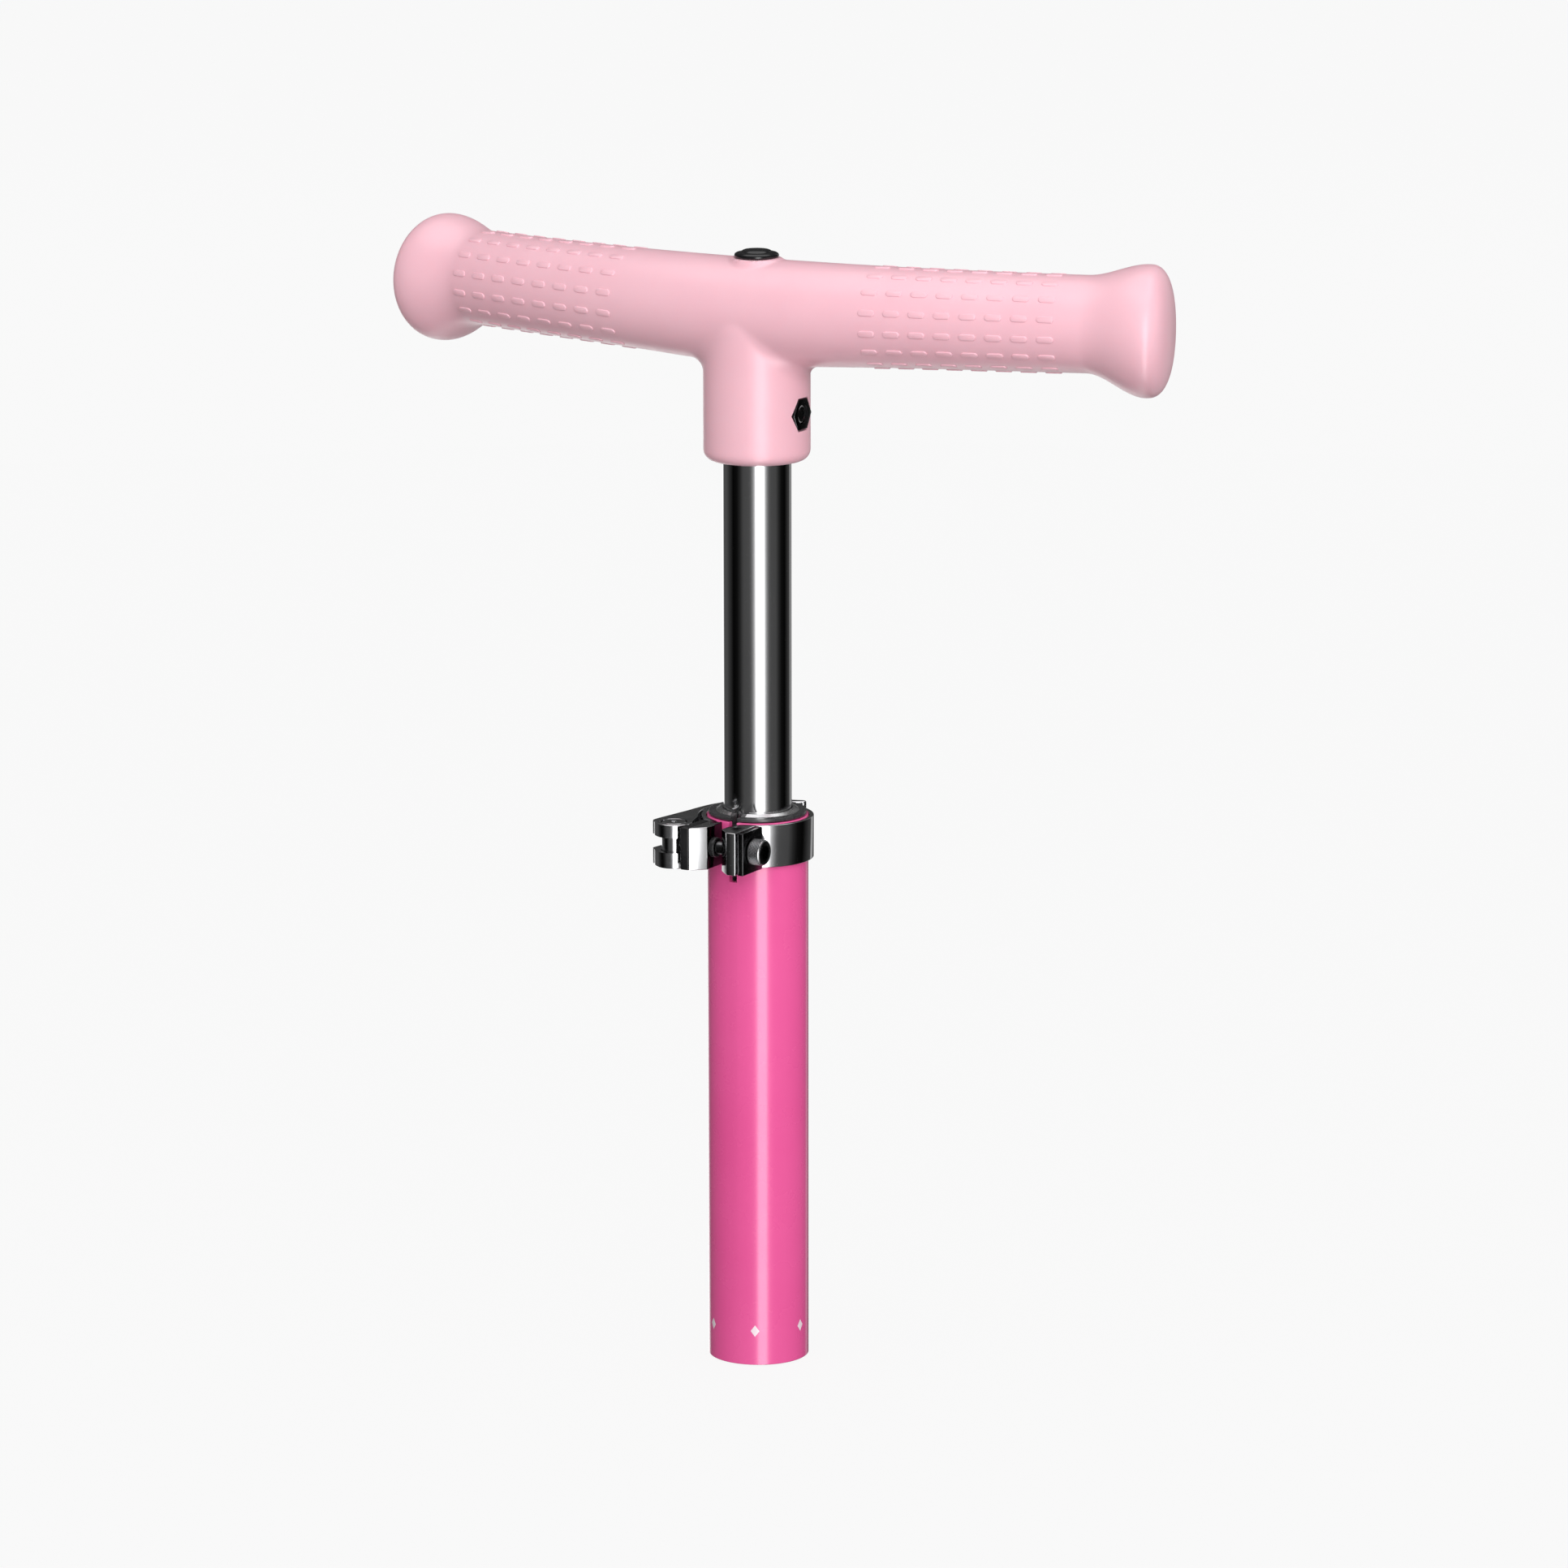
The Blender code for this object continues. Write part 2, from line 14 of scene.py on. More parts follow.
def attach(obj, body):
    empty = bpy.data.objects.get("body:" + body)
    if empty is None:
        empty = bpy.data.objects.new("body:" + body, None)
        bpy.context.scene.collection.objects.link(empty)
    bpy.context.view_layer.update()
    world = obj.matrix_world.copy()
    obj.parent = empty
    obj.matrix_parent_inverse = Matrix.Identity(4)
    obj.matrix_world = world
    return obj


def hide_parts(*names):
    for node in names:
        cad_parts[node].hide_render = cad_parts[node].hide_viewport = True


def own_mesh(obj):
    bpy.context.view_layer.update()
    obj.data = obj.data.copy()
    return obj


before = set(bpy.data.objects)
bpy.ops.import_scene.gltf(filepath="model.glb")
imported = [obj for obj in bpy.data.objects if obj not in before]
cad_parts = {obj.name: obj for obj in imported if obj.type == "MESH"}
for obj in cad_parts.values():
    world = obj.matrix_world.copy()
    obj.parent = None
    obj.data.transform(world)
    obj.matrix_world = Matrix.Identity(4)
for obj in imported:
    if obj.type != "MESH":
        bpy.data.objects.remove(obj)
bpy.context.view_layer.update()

MM = 0.001
GAP = 0.3  # clearance between pieces

# Tubes
OUTER_R = 16.5
OUTER_BORE_R = 14.5
OUTER_TOP = 182.15
SLIT_WIDTH = 2.8
SLIT_BOTTOM = 162.4
INNER_R = 11.1
INNER_BORE_R = 9.6
INNER_BOTTOM = 112.0
INNER_TOP = 345.0

# Bushing between the tubes
BUSHING_BOTTOM = 138.0
BUSHING_LEDGE = OUTER_TOP + 1.45
BUSHING_TOP = OUTER_TOP + 2.35
FLANGE_R = 15.95
LIP_R = 13.65  # of the sloped lip round the inner tube
LIP_TOP_R = 12.3

# Height lock
BUTTON_Z = 132.0
BUTTON_R = 3.4
BUTTON_FLANGE_R = 4.6
BUTTON_FLANGE = (6.6, 8.1)  # where it starts and ends along Y
BUTTON_DOME = (16.0, 1.9)  # where the dome starts, and its height
HEIGHT_STEP = 18.0
HEIGHT_HOLES = 7
HOLE_R = BUTTON_R + GAP

# Printed diamonds on the outer tube
DIAMONDS = 6
DIAMOND_TURN = -25.0  # degrees from the front
DIAMOND_HEIGHT = 0.0116  # in metres
DIAMOND_HALF_WIDTH = 1.45
DIAMOND_HALF_HEIGHT = 1.95

# Handlebar
BAR_Z = 348.95
BAR_CURVATURE = 0.00243
BAR_R = 15.25
BAR_SWELL = 1.9
SWELL_REACH = 45.0
FLARE_R = 21.1
FLARE_START = 112.5
FLARE_PEAK = 131.7
FLARE_SQUARENESS = 2.6
BAR_HALF_LENGTH = 140.0
FLARE_DROP = 1.75
GRIP_WALL = 3.5
STEM_R = 17.3
STEM_BOTTOM = 298.9
STEM_FILLET = 3.6
STEM_SHOULDER = 340.95
STEM_DOME = 362.7
CROTCH_FILLET = 5.6
CORE_HALF_LENGTH = 122.0
CAP_R = 7.2
CAP_SEAT_R = 8.4
CAP_SEAT_Z = 364.4
CAP_STEM_R = 4.0
CAP_STEM_BOTTOM = 353.0

# Raised dashes: the first one's distance along the arm and their pitch, left and right
STUD_LENGTH = 5.4
STUD_WIDTH = 2.1
LEFT_STUDS = (48.0, 8.73)
RIGHT_STUDS = (45.3, 8.11)
STUD_COLUMNS = 8
STUD_ROWS = 15
# How far the dash's outline is drawn in at each height over the grip
STUD_STEPS = ((-0.06, -0.5), (-0.06, -0.03), (0.0, 0.05), (0.04, 0.18), (0.12, 0.28), (0.26, 0.33))

# Cross bolt and nut through the stem
CROSS_Z = 314.9
CROSS_R = 3.0
CROSS_HEAD_R = 5.25
CROSS_SEAT = 13.1  # how far the sunk holes' floors are from the axis
NUT_ACROSS = 10.0
NUT_HEIGHT = 3.6

# Clamp
COLLAR_R = 18.3
COLLAR_BORE_R = 16.8
COLLAR_BOTTOM = 168.0
COLLAR_TOP = 182.0
LUG_FRONT_Y = -30.2
LEFT_CHAMFER = (4.6, 4.1)
RIGHT_CHAMFER = (4.2, 4.2)
RIGHT_LUG = (1.2, 8.5)
LEFT_LUG = (-8.6, -4.0)
SPACER = (8.8, 11.0)
SPACER_FRONT_Y = -29.3
SHOE = (-11.8, -8.9)
PLATE_BACK_Y = -16.4
BOLT_Y = -23.2
BOLT_Z = 175.1
BOLT_R = 2.2
BOLT_HEAD_R = 4.25
BOLT_HEAD = (11.3, 15.8)
BOLT_TIP = 2.7  # how far the bolt reaches past the lever's pivot
KNURLS = 24
KNURL_DEPTH = 0.30
THREADS = 24
THREAD_LENGTH = 13.0
THREAD_DEPTH = 0.28
SOCKET_ACROSS = 4.0
SOCKET_DEPTH = 2.1
KEEPER_R = 3.3
KEEPER_WIDTH = 1.9
PIVOT_X = -18.1
BARREL_R = 4.0
CAM_R = 6.0
LEVER_BOTTOM = 167.4
LEVER_TOP = 182.0
FORK_SLOT = 5.0
FORK_BACK_Y = -18.6
ARM_INNER_R = 19.4

# Camera, in millimetres and degrees
CAMERA_AZIMUTH = 29.042
CAMERA_ELEVATION = 12.026
CAMERA_DISTANCE = 2326.41
CAMERA_ASIDE = 9.29
CAMERA_HEIGHT = 191.88
CAMERA_ROLL = -0.07
CAMERA_LENS = 164.09
CAMERA_SHIFT_X = -0.0013975  # in widths of the picture

# Lights: name, degrees from the camera's azimuth, elevation, width in metres, watts
LIGHT_DISTANCE = 3.0
LIGHT_TARGET = (0, 0, 0.15)
LIGHTS = (("key", 9, 22, 3.2, 72), ("right", 64, 12, 2.4, 13),
          ("top", -30, 66, 2.4, 9), ("back", 180, 34, 2.4, 9))

# The studio that metal mirrors: degrees from the middle of a bright upright strip, and level
KEY_AZIMUTH = CAMERA_AZIMUTH + 9.5
BOTH_SIDES = ((8, 4.4), (11.5, 2.6), (15, 1.0), (19, 0.48), (25, 0.22), (31, 0.10), (38, 0.074),
              (56, 0.064), (68, 0.022), (79, 0.005), (97, 0.0018), (111, 0.022), (122, 0.045))
FAR_LEFT = ((-134, 0.072),)
FAR_RIGHT = ((130, 0.05), (134, 0.35), (145, 0.35), (149, 0.05), (180, 0.055))
REAR_STRIP = (158, 1.6)  # where the strip behind starts, and its level; it stands below the horizon
MIDWAY_LEVEL = 0.10  # between the strips and the ceiling
CEILING_LEVEL = 1.5
FILL_BELOW = (0.34, 0.33, 0.33)
FILL_ABOVE = (0.60, 0.60, 0.60)
BACKDROP_LEVEL = 0.9387
FLOOR_GLOW = 0.910


# ---------------------------------------------------------------- mesh making

def turned(profile, segments=128, phase=0.0):
    """A body of revolution about Z from (radius, z) points; radius 0 makes a pole."""
    bm = bmesh.new()
    rows = []
    for radius, z in profile:
        count = segments if radius else 1
        angles = [2 * math.pi * (k + phase) / segments for k in range(count)]
        rows.append([bm.verts.new((radius * math.cos(a), radius * math.sin(a), z)) for a in angles])
    for low, high in zip(rows, rows[1:] + rows[:1]):
        if len(low) + len(high) == 2:
            continue
        for k in range(segments):
            corners = [low[k % len(low)], low[(k + 1) % len(low)]]
            corners += [high[(k + 1) % len(high)], high[k % len(high)]]
            bm.faces.new(dict.fromkeys(corners))
    return bm


def softened(points, radius, steps=3):
    """A closed or open profile with its corners rounded; points on the axis stay as they are."""
    out = []
    count = len(points)
    for k, point in enumerate(points):
        here = Vector(point)
        before, after = Vector(points[k - 1]) - here, Vector(points[(k + 1) % count]) - here
        if point[0] == 0 or before.length == 0 or after.length == 0:
            out.append(point)
            continue
        reach = min(radius, before.length * 0.45, after.length * 0.45)
        start, end = here + before.normalized() * reach, here + after.normalized() * reach
        for step in range(steps + 1):
            t = step / steps
            out.append(tuple(start * (1 - t) ** 2 + here * 2 * t * (1 - t) + end * t * t))
    return out


def rod(radius, start, end, axis="Z", segments=64):
    """A plain cylinder along an axis through the origin, for cutting."""
    return along(turned([(0, start), (radius, start), (radius, end), (0, end)], segments, 0.3), axis)


def along(bm, axis):
    """Lay a body that stands along Z along another axis."""
    turn = {"X": Matrix.Rotation(math.pi / 2, 3, "Y"), "Y": Matrix.Rotation(-math.pi / 2, 3, "X")}
    if axis in turn:
        bmesh.ops.rotate(bm, cent=(0, 0, 0), matrix=turn[axis], verts=bm.verts)
    return bm


def prism(outline, bottom, top):
    """A closed outline in the XY plane, given height."""
    bm = bmesh.new()
    low = [bm.verts.new((x, y, bottom)) for x, y in outline]
    high = [bm.verts.new((x, y, top)) for x, y in outline]
    count = len(outline)
    for k in range(count):
        bm.faces.new((low[k], low[(k + 1) % count], high[(k + 1) % count], high[k]))
    bm.faces.new(low)
    bm.faces.new(high)
    return bm


def box(low, high):
    """A block between two corners."""
    outline = [(low[0], low[1]), (high[0], low[1]), (high[0], high[1]), (low[0], high[1])]
    return prism(outline, low[2], high[2])


def hexagon(across_flats, start, end):
    """A hexagonal bar along X with two corners pointing along Y."""
    radius = across_flats / math.sqrt(3)
    corners = [(radius * math.cos(math.pi * k / 3), radius * math.sin(math.pi * k / 3)) for k in range(6)]
    bm = prism(corners, start, end)
    swap = Matrix(((0, 0, 1), (1, 0, 0), (0, 1, 0)))
    bmesh.ops.transform(bm, matrix=swap.to_4x4(), verts=bm.verts)
    return bm


def lofted(*bodies):
    """A mesh of bodies, each a skin over closed rings of equal length, with flat ends."""
    bm = bmesh.new()
    for rings in bodies:
        rows = [[bm.verts.new(point) for point in ring] for ring in rings]
        for low, high in zip(rows, rows[1:]):
            for k in range(len(low)):
                after = (k + 1) % len(low)
                bm.faces.new((low[k], low[after], high[after], high[k]))
        bm.faces.new(rows[0])
        bm.faces.new(reversed(rows[-1]))
    return bm


def arc(radius, start, end, steps, centre=(0, 0)):
    """Points on a circle between two angles in degrees, both ends included."""
    angles = [math.radians(start + (end - start) * k / steps) for k in range(steps + 1)]
    return [(centre[0] + radius * math.cos(a), centre[1] + radius * math.sin(a)) for a in angles]


def curve_through(points, steps=6):
    """A smooth line through the points."""
    out = []
    padded = [points[0]] + points + [points[-1]]
    for a, b, c, d in zip(padded, padded[1:], padded[2:], padded[3:]):
        a, b, c, d = Vector(a), Vector(b), Vector(c), Vector(d)
        for k in range(steps):
            t = k / steps
            part = 2 * b + (c - a) * t + (2 * a - 5 * b + 4 * c - d) * t**2 + (3 * b - a - 3 * c + d) * t**3
            out.append(tuple(part / 2))
    return out + [tuple(points[-1])]


def raw(name, bm, location=(0, 0, 0)):
    """A bare object in millimetres."""
    bmesh.ops.translate(bm, vec=Vector(location), verts=bm.verts)
    bmesh.ops.recalc_face_normals(bm, faces=bm.faces)
    mesh = bpy.data.meshes.new(name)
    bm.to_mesh(mesh)
    bm.free()
    made = bpy.data.objects.new(name, mesh)
    bpy.context.scene.collection.objects.link(made)
    return made


def bake(obj):
    """Apply the modifiers to the mesh."""
    graph = bpy.context.evaluated_depsgraph_get()
    mesh = bpy.data.meshes.new_from_object(obj.evaluated_get(graph))
    obj.modifiers.clear()
    obj.data = mesh


def combine(obj, helper_bm, operation, location=(0, 0, 0), solver="EXACT"):
    """Cut a shape from the object or join it on, as the operation says."""
    helper = raw(obj.name + "_helper", helper_bm, location)
    step = obj.modifiers.new("combine", "BOOLEAN")
    step.operation = operation
    step.solver = solver
    step.object = helper
    bake(obj)
    bpy.data.objects.remove(helper)


def cut(obj, helper_bm, location=(0, 0, 0), solver="EXACT"):
    """Cut a shape from the object."""
    combine(obj, helper_bm, "DIFFERENCE", location, solver)


def bevel(obj, width, segments=3, angle=35):
    """Round the edges sharper than an angle."""
    step = obj.modifiers.new("bevel", "BEVEL")
    step.width = width
    step.segments = segments
    step.limit_method = "ANGLE"
    step.angle_limit = math.radians(angle)
    step.miter_outer = "MITER_ARC"
    bake(obj)


def place(obj, body, nodes, shader, sharp=35):
    """Bring a finished piece to metres, give it its finish and let it ride on its body."""
    obj.data.transform(Matrix.Scale(MM, 4))
    obj.data.shade_smooth()
    obj.data.set_sharp_from_angle(angle=math.radians(sharp))
    obj.data.materials.clear()
    obj.data.materials.append(shader)
    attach(obj, body)
    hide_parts(*nodes)


# ---------------------------------------------------------------- finishes

def new_shader(name):
    """An empty Principled material: (material, its node tree, its shader)."""
    made = bpy.data.materials.new(name)
    made.use_nodes = True
    return made, made.node_tree, made.node_tree.nodes["Principled BSDF"]


def noise(tree, scale, detail=4.0, stretch=(1, 1, 1), roughness=0.55):
    """A noise texture on the object's own coordinates; scale is in features per metre."""
    where = tree.nodes.new("ShaderNodeTexCoord")
    fit = tree.nodes.new("ShaderNodeMapping")
    fit.inputs["Scale"].default_value = stretch
    texture = tree.nodes.new("ShaderNodeTexNoise")
    texture.inputs["Scale"].default_value = scale
    texture.inputs["Detail"].default_value = detail
    texture.inputs["Roughness"].default_value = roughness
    tree.links.new(where.outputs["Object"], fit.inputs["Vector"])
    tree.links.new(fit.outputs["Vector"], texture.inputs["Vector"])
    return texture.outputs["Fac"]


def spread(tree, value, low, high, inner=(0.3, 0.7)):
    """Bring a 0 to 1 value to a range."""
    node = tree.nodes.new("ShaderNodeMapRange")
    node.inputs["From Min"].default_value = inner[0]
    node.inputs["From Max"].default_value = inner[1]
    node.inputs["To Min"].default_value = low
    node.inputs["To Max"].default_value = high
    tree.links.new(value, node.inputs["Value"])
    return node.outputs["Result"]


def mix_colour(tree, factor, first, second):
    """A colour between two others; each is a tuple or a socket."""
    node = tree.nodes.new("ShaderNodeMix")
    node.data_type = "RGBA"
    for socket, value in ((node.inputs[6], first), (node.inputs[7], second)):
        if isinstance(value, tuple):
            socket.default_value = (*value, 1.0)
        else:
            tree.links.new(value, socket)
    tree.links.new(factor, node.inputs[0])
    return node.outputs[2]


def bumped(tree, shader, *layers):
    """Chain bump layers (height socket, strength, distance in metres) into the shader's normal."""
    last = None
    for height, strength, distance in layers:
        node = tree.nodes.new("ShaderNodeBump")
        node.inputs["Strength"].default_value = strength
        node.inputs["Distance"].default_value = distance
        tree.links.new(height, node.inputs["Height"])
        if last:
            tree.links.new(last, node.inputs["Normal"])
        last = node.outputs["Normal"]
    tree.links.new(last, shader.inputs["Normal"])


def finish(name, dark, light, rough, metallic, blotch, grain, grain_depth, grain_strength,
           stretch=(1, 1, 1), constants=()):
    """A finish with drifting colour, uneven gloss and a fine grain.

    dark and light are the ends of the colour drift, and rough those of the roughness. blotch and grain are
    in features per metre, and grain_depth is in metres.
    """
    made, tree, shader = new_shader(name)
    drift = noise(tree, blotch, 5.0)
    fine = noise(tree, grain, 3.0, stretch)
    tree.links.new(mix_colour(tree, spread(tree, drift, 0.0, 1.0), dark, light), shader.inputs["Base Color"])
    tree.links.new(spread(tree, noise(tree, blotch * 2.7, 6.0, stretch), *rough), shader.inputs["Roughness"])
    shader.inputs["Metallic"].default_value = metallic
    for socket, value in constants:
        shader.inputs[socket].default_value = value
    bumped(tree, shader, (fine, grain_strength, grain_depth))
    return made


def math_node(tree, operation, first, second=None, third=None):
    """One arithmetic step; each value is a number or a socket."""
    node = tree.nodes.new("ShaderNodeMath")
    node.operation = operation
    for socket, value in zip(node.inputs, (first, second, third)):
        if value is None:
            continue
        if isinstance(value, (int, float)):
            socket.default_value = value
        else:
            tree.links.new(value, socket)
    return node.outputs[0]


def recolour(made, region, colour, metallic=None):
    """Give a finish another colour in one region, which is a function of the tree and x, y and z in metres."""
    tree = made.node_tree
    shader = tree.nodes["Principled BSDF"]
    where = tree.nodes.new("ShaderNodeTexCoord")
    split = tree.nodes.new("ShaderNodeSeparateXYZ")
    tree.links.new(where.outputs["Object"], split.inputs[0])
    inside = region(tree, *split.outputs)
    plain = shader.inputs["Base Color"].links[0].from_socket
    tree.links.new(mix_colour(tree, inside, plain, colour), shader.inputs["Base Color"])
    if metallic is not None:
        level = spread(tree, inside, shader.inputs["Metallic"].default_value, metallic, (0.0, 1.0))
        tree.links.new(level, shader.inputs["Metallic"])


def both(tree, first, second):
    """1 where two regions overlap."""
    return math_node(tree, "MULTIPLY", first, second)


def squared(tree, first, second):
    """The sum of two squares."""
    return math_node(tree, "ADD", math_node(tree, "MULTIPLY", first, first),
                     math_node(tree, "MULTIPLY", second, second))


def lug_gap_shade(tree, x, y, z):
    """Where shade is painted: the faces of the two lugs that look at each other, with a hair of their rounded
    edges.
    """
    edge, reach = 0.12, 0.96
    middle, half = (LEFT_LUG[1] + RIGHT_LUG[0]) / 2, (RIGHT_LUG[0] - LEFT_LUG[1]) / 2 + edge
    between = math_node(tree, "COMPARE", x, middle * MM, half * MM)
    return both(tree, between, math_node(tree, "LESS_THAN", y, -COLLAR_BORE_R * reach * MM))


def lip_highlight_region(tree, x, y, z):
    """The bushing's sloped lip, clear of the slit, where a painted highlight goes."""
    margin = 0.05
    radius = math_node(tree, "SQRT", squared(tree, x, y))
    near = math_node(tree, "LESS_THAN", radius, (LIP_R + margin) * MM)
    beside = math_node(tree, "GREATER_THAN", math_node(tree, "ABSOLUTE", x), SLIT_WIDTH * MM)
    above = math_node(tree, "GREATER_THAN", z, (BUSHING_LEDGE + margin) * MM)
    return both(tree, both(tree, near, beside), above)


def round_axis(axis_y, axis_z, radius, start, side="GREATER_THAN"):
    """The region outside or inside a radius about an axis along X, and beyond x = start."""
    def region(tree, x, y, z):
        aside = math_node(tree, "SUBTRACT", y, axis_y * MM)
        up = math_node(tree, "SUBTRACT", z, axis_z * MM)
        here = math_node(tree, side, squared(tree, aside, up), (radius * MM) ** 2)
        return both(tree, here, math_node(tree, "GREATER_THAN", x, start * MM))
    return region


def tube_paint():
    """Hot pink gloss paint with a ring of small pale printed diamonds near the lower end."""
    made, tree, shader = new_shader("tube_paint")
    drift = noise(tree, 18.0, 4.0)
    base = mix_colour(tree, spread(tree, drift, 0.0, 1.0), (0.835, 0.098, 0.330), (0.880, 0.118, 0.362))
    where = tree.nodes.new("ShaderNodeTexCoord")
    split = tree.nodes.new("ShaderNodeSeparateXYZ")
    tree.links.new(where.outputs["Object"], split.inputs[0])
    x, y, z = split.outputs
    pitch = 360 / DIAMONDS
    around = math_node(tree, "ARCTAN2", x, math_node(tree, "MULTIPLY", y, -1.0))
    turned_on = math_node(tree, "ADD", around, math.radians(DIAMOND_TURN + pitch / 2 + 360.0))
    past = math_node(tree, "MODULO", turned_on, math.radians(pitch))
    in_step = math_node(tree, "SUBTRACT", past, math.radians(pitch / 2))
    aside = math_node(tree, "MULTIPLY", math_node(tree, "ABSOLUTE", in_step), OUTER_R / DIAMOND_HALF_WIDTH)
    up = math_node(tree, "ABSOLUTE", math_node(tree, "SUBTRACT", z, DIAMOND_HEIGHT))
    tall = math_node(tree, "MULTIPLY", up, 1000.0 / DIAMOND_HALF_HEIGHT)
    diamond = math_node(tree, "LESS_THAN", math_node(tree, "ADD", aside, tall), 1.0)
    colour = mix_colour(tree, diamond, base, (0.93, 0.78, 0.84))
    tree.links.new(colour, shader.inputs["Base Color"])
    tree.links.new(spread(tree, noise(tree, 60.0, 5.0), 0.22, 0.32), shader.inputs["Roughness"])
    shader.inputs["Coat Weight"].default_value = 1.0
    shader.inputs["Coat Roughness"].default_value = 0.07
    shader.inputs["Coat IOR"].default_value = 1.55
    shader.inputs["Specular IOR Level"].default_value = 0.35
    bumped(tree, shader, (noise(tree, 420.0, 2.0), 0.10, 0.00002), (diamond, 0.35, 0.00003))
    return made


def grip_rubber():
    """Satin pink soft plastic: a very fine matt grain, a little translucent."""
    made, tree, shader = new_shader("grip_rubber")
    drift = noise(tree, 22.0, 5.0)
    base = mix_colour(tree, spread(tree, drift, 0.0, 1.0), (0.890, 0.500, 0.580), (0.930, 0.545, 0.622))
    tree.links.new(base, shader.inputs["Base Color"])
    tree.links.new(spread(tree, noise(tree, 150.0, 6.0), 0.28, 0.36), shader.inputs["Roughness"])
    shader.inputs["Subsurface Weight"].default_value = 0.12
    shader.inputs["Subsurface Radius"].default_value = (1.0, 0.45, 0.40)
    shader.inputs["Subsurface Scale"].default_value = 0.0016
    shader.inputs["Specular IOR Level"].default_value = 0.7
    shader.inputs["Sheen Weight"].default_value = 0.05
    shader.inputs["Sheen Roughness"].default_value = 0.5
    bumped(tree, shader, (noise(tree, 2600.0, 3.0), 0.16, 0.00002), (noise(tree, 240.0, 2.0), 0.06, 0.00004))
    return made


GRIP = grip_rubber()
PAINT = tube_paint()
# name, darkest and lightest colour, roughness, metallic, blotch, grain, its depth and strength
CHROME = finish("chrome_tube", (0.80, 0.80, 0.81), (0.88, 0.88, 0.89), (0.055, 0.095), 1.0,
                14.0, 500.0, 0.000004, 0.25, (1, 1, 0.02))
CLAMP_CHROME = finish("clamp_chrome", (0.78, 0.78, 0.80), (0.87, 0.87, 0.88), (0.07, 0.13), 1.0,
                      60.0, 1500.0, 0.000006, 0.35)
LEVER_METAL = finish("lever_metal", (0.70, 0.70, 0.72), (0.84, 0.84, 0.86), (0.10, 0.20), 1.0,
                     90.0, 2400.0, 0.00002, 0.5)
BLACK_STEEL = finish("black_steel", (0.070, 0.070, 0.074), (0.120, 0.120, 0.125), (0.16, 0.28), 1.0,
                     120.0, 2600.0, 0.00002, 0.5)
BLACK_PLASTIC = finish("black_plastic", (0.010, 0.010, 0.011), (0.020, 0.020, 0.021), (0.24, 0.34), 0.0,
                       90.0, 3000.0, 0.00001, 0.4)
CAP_PLASTIC = finish("cap_plastic", (0.006, 0.006, 0.007), (0.014, 0.014, 0.015), (0.10, 0.17), 0.0,
                     120.0, 1800.0, 0.000006, 0.3)
BUSHING_PLASTIC = finish("bushing_plastic", (0.030, 0.030, 0.032), (0.055, 0.055, 0.058), (0.22, 0.34), 0.0,
                         110.0, 2600.0, 0.00002, 0.5,
                         constants=(("Coat Weight", 0.4), ("Coat Roughness", 0.15)))
BOLT_STEEL = finish("bolt_steel", (0.13, 0.13, 0.135), (0.24, 0.24, 0.25), (0.16, 0.28), 1.0,
                    120.0, 2600.0, 0.00002, 0.5)
TIP_STEEL = finish("tip_steel", (0.07, 0.07, 0.074), (0.12, 0.12, 0.125), (0.16, 0.28), 1.0,
                   120.0, 2600.0, 0.00002, 0.5)
CORE_PLASTIC = finish("core_plastic", (0.62, 0.60, 0.56), (0.72, 0.70, 0.66), (0.5, 0.65), 0.0,
                      40.0, 900.0, 0.00003, 0.5)
SPRING_STEEL = finish("spring_steel", (0.36, 0.36, 0.37), (0.50, 0.50, 0.52), (0.22, 0.38), 1.0,
                      80.0, 700.0, 0.00001, 0.5, (1, 1, 0.1))

# Painted shade between the lugs and in the bolt's socket; painted highlights on the bushing's lip and the stem
# bolt tip's rim; a bright chamfer on the bolt
recolour(CLAMP_CHROME, lug_gap_shade, (0.02, 0.02, 0.02))
# painted highlight: the black plastic lip gets a bright metal finish so it mirrors a white crescent
recolour(BUSHING_PLASTIC, lip_highlight_region, (0.75, 0.75, 0.76), 1.0)
recolour(BOLT_STEEL, round_axis(BOLT_Y, BOLT_Z, BOLT_HEAD_R - 0.5, BOLT_HEAD[1] - 0.5), (0.86, 0.86, 0.87))
# painted shade: the hex socket in the bolt's head is coloured near black
socket = round_axis(BOLT_Y, BOLT_Z, 0.65 * SOCKET_ACROSS, BOLT_HEAD[1] - SOCKET_DEPTH - 0.2, "LESS_THAN")
recolour(BOLT_STEEL, socket, (0.03, 0.03, 0.03))
# painted highlight: a light grey, less metallic ring on the rim of the stem bolt's tip
recolour(TIP_STEEL, round_axis(0, CROSS_Z, CROSS_R - 0.55, STEM_R - 1.5), (0.50, 0.50, 0.51), 0.3)


# ---------------------------------------------------------------- tubes

def make_outer_tube():
    """The pink tube, slit in front under the clamp, with the lock's holes behind."""
    corners = [(OUTER_R, 0), (OUTER_R, OUTER_TOP), (OUTER_BORE_R, OUTER_TOP), (OUTER_BORE_R, 0)]
    tube = raw("tube_outer", turned(softened(corners, 0.35), 180))
    half = SLIT_WIDTH / 2
    cut(tube, box((-half, -OUTER_R - 3, SLIT_BOTTOM), (half, -INNER_R, OUTER_TOP + 3)))
    for k in range(HEIGHT_HOLES):
        cut(tube, rod(HOLE_R, INNER_R, OUTER_R + 3, "Y", 48), (0, 0, BUTTON_Z - HEIGHT_STEP * k))
    place(tube, "column", ["outer_tube"], PAINT)


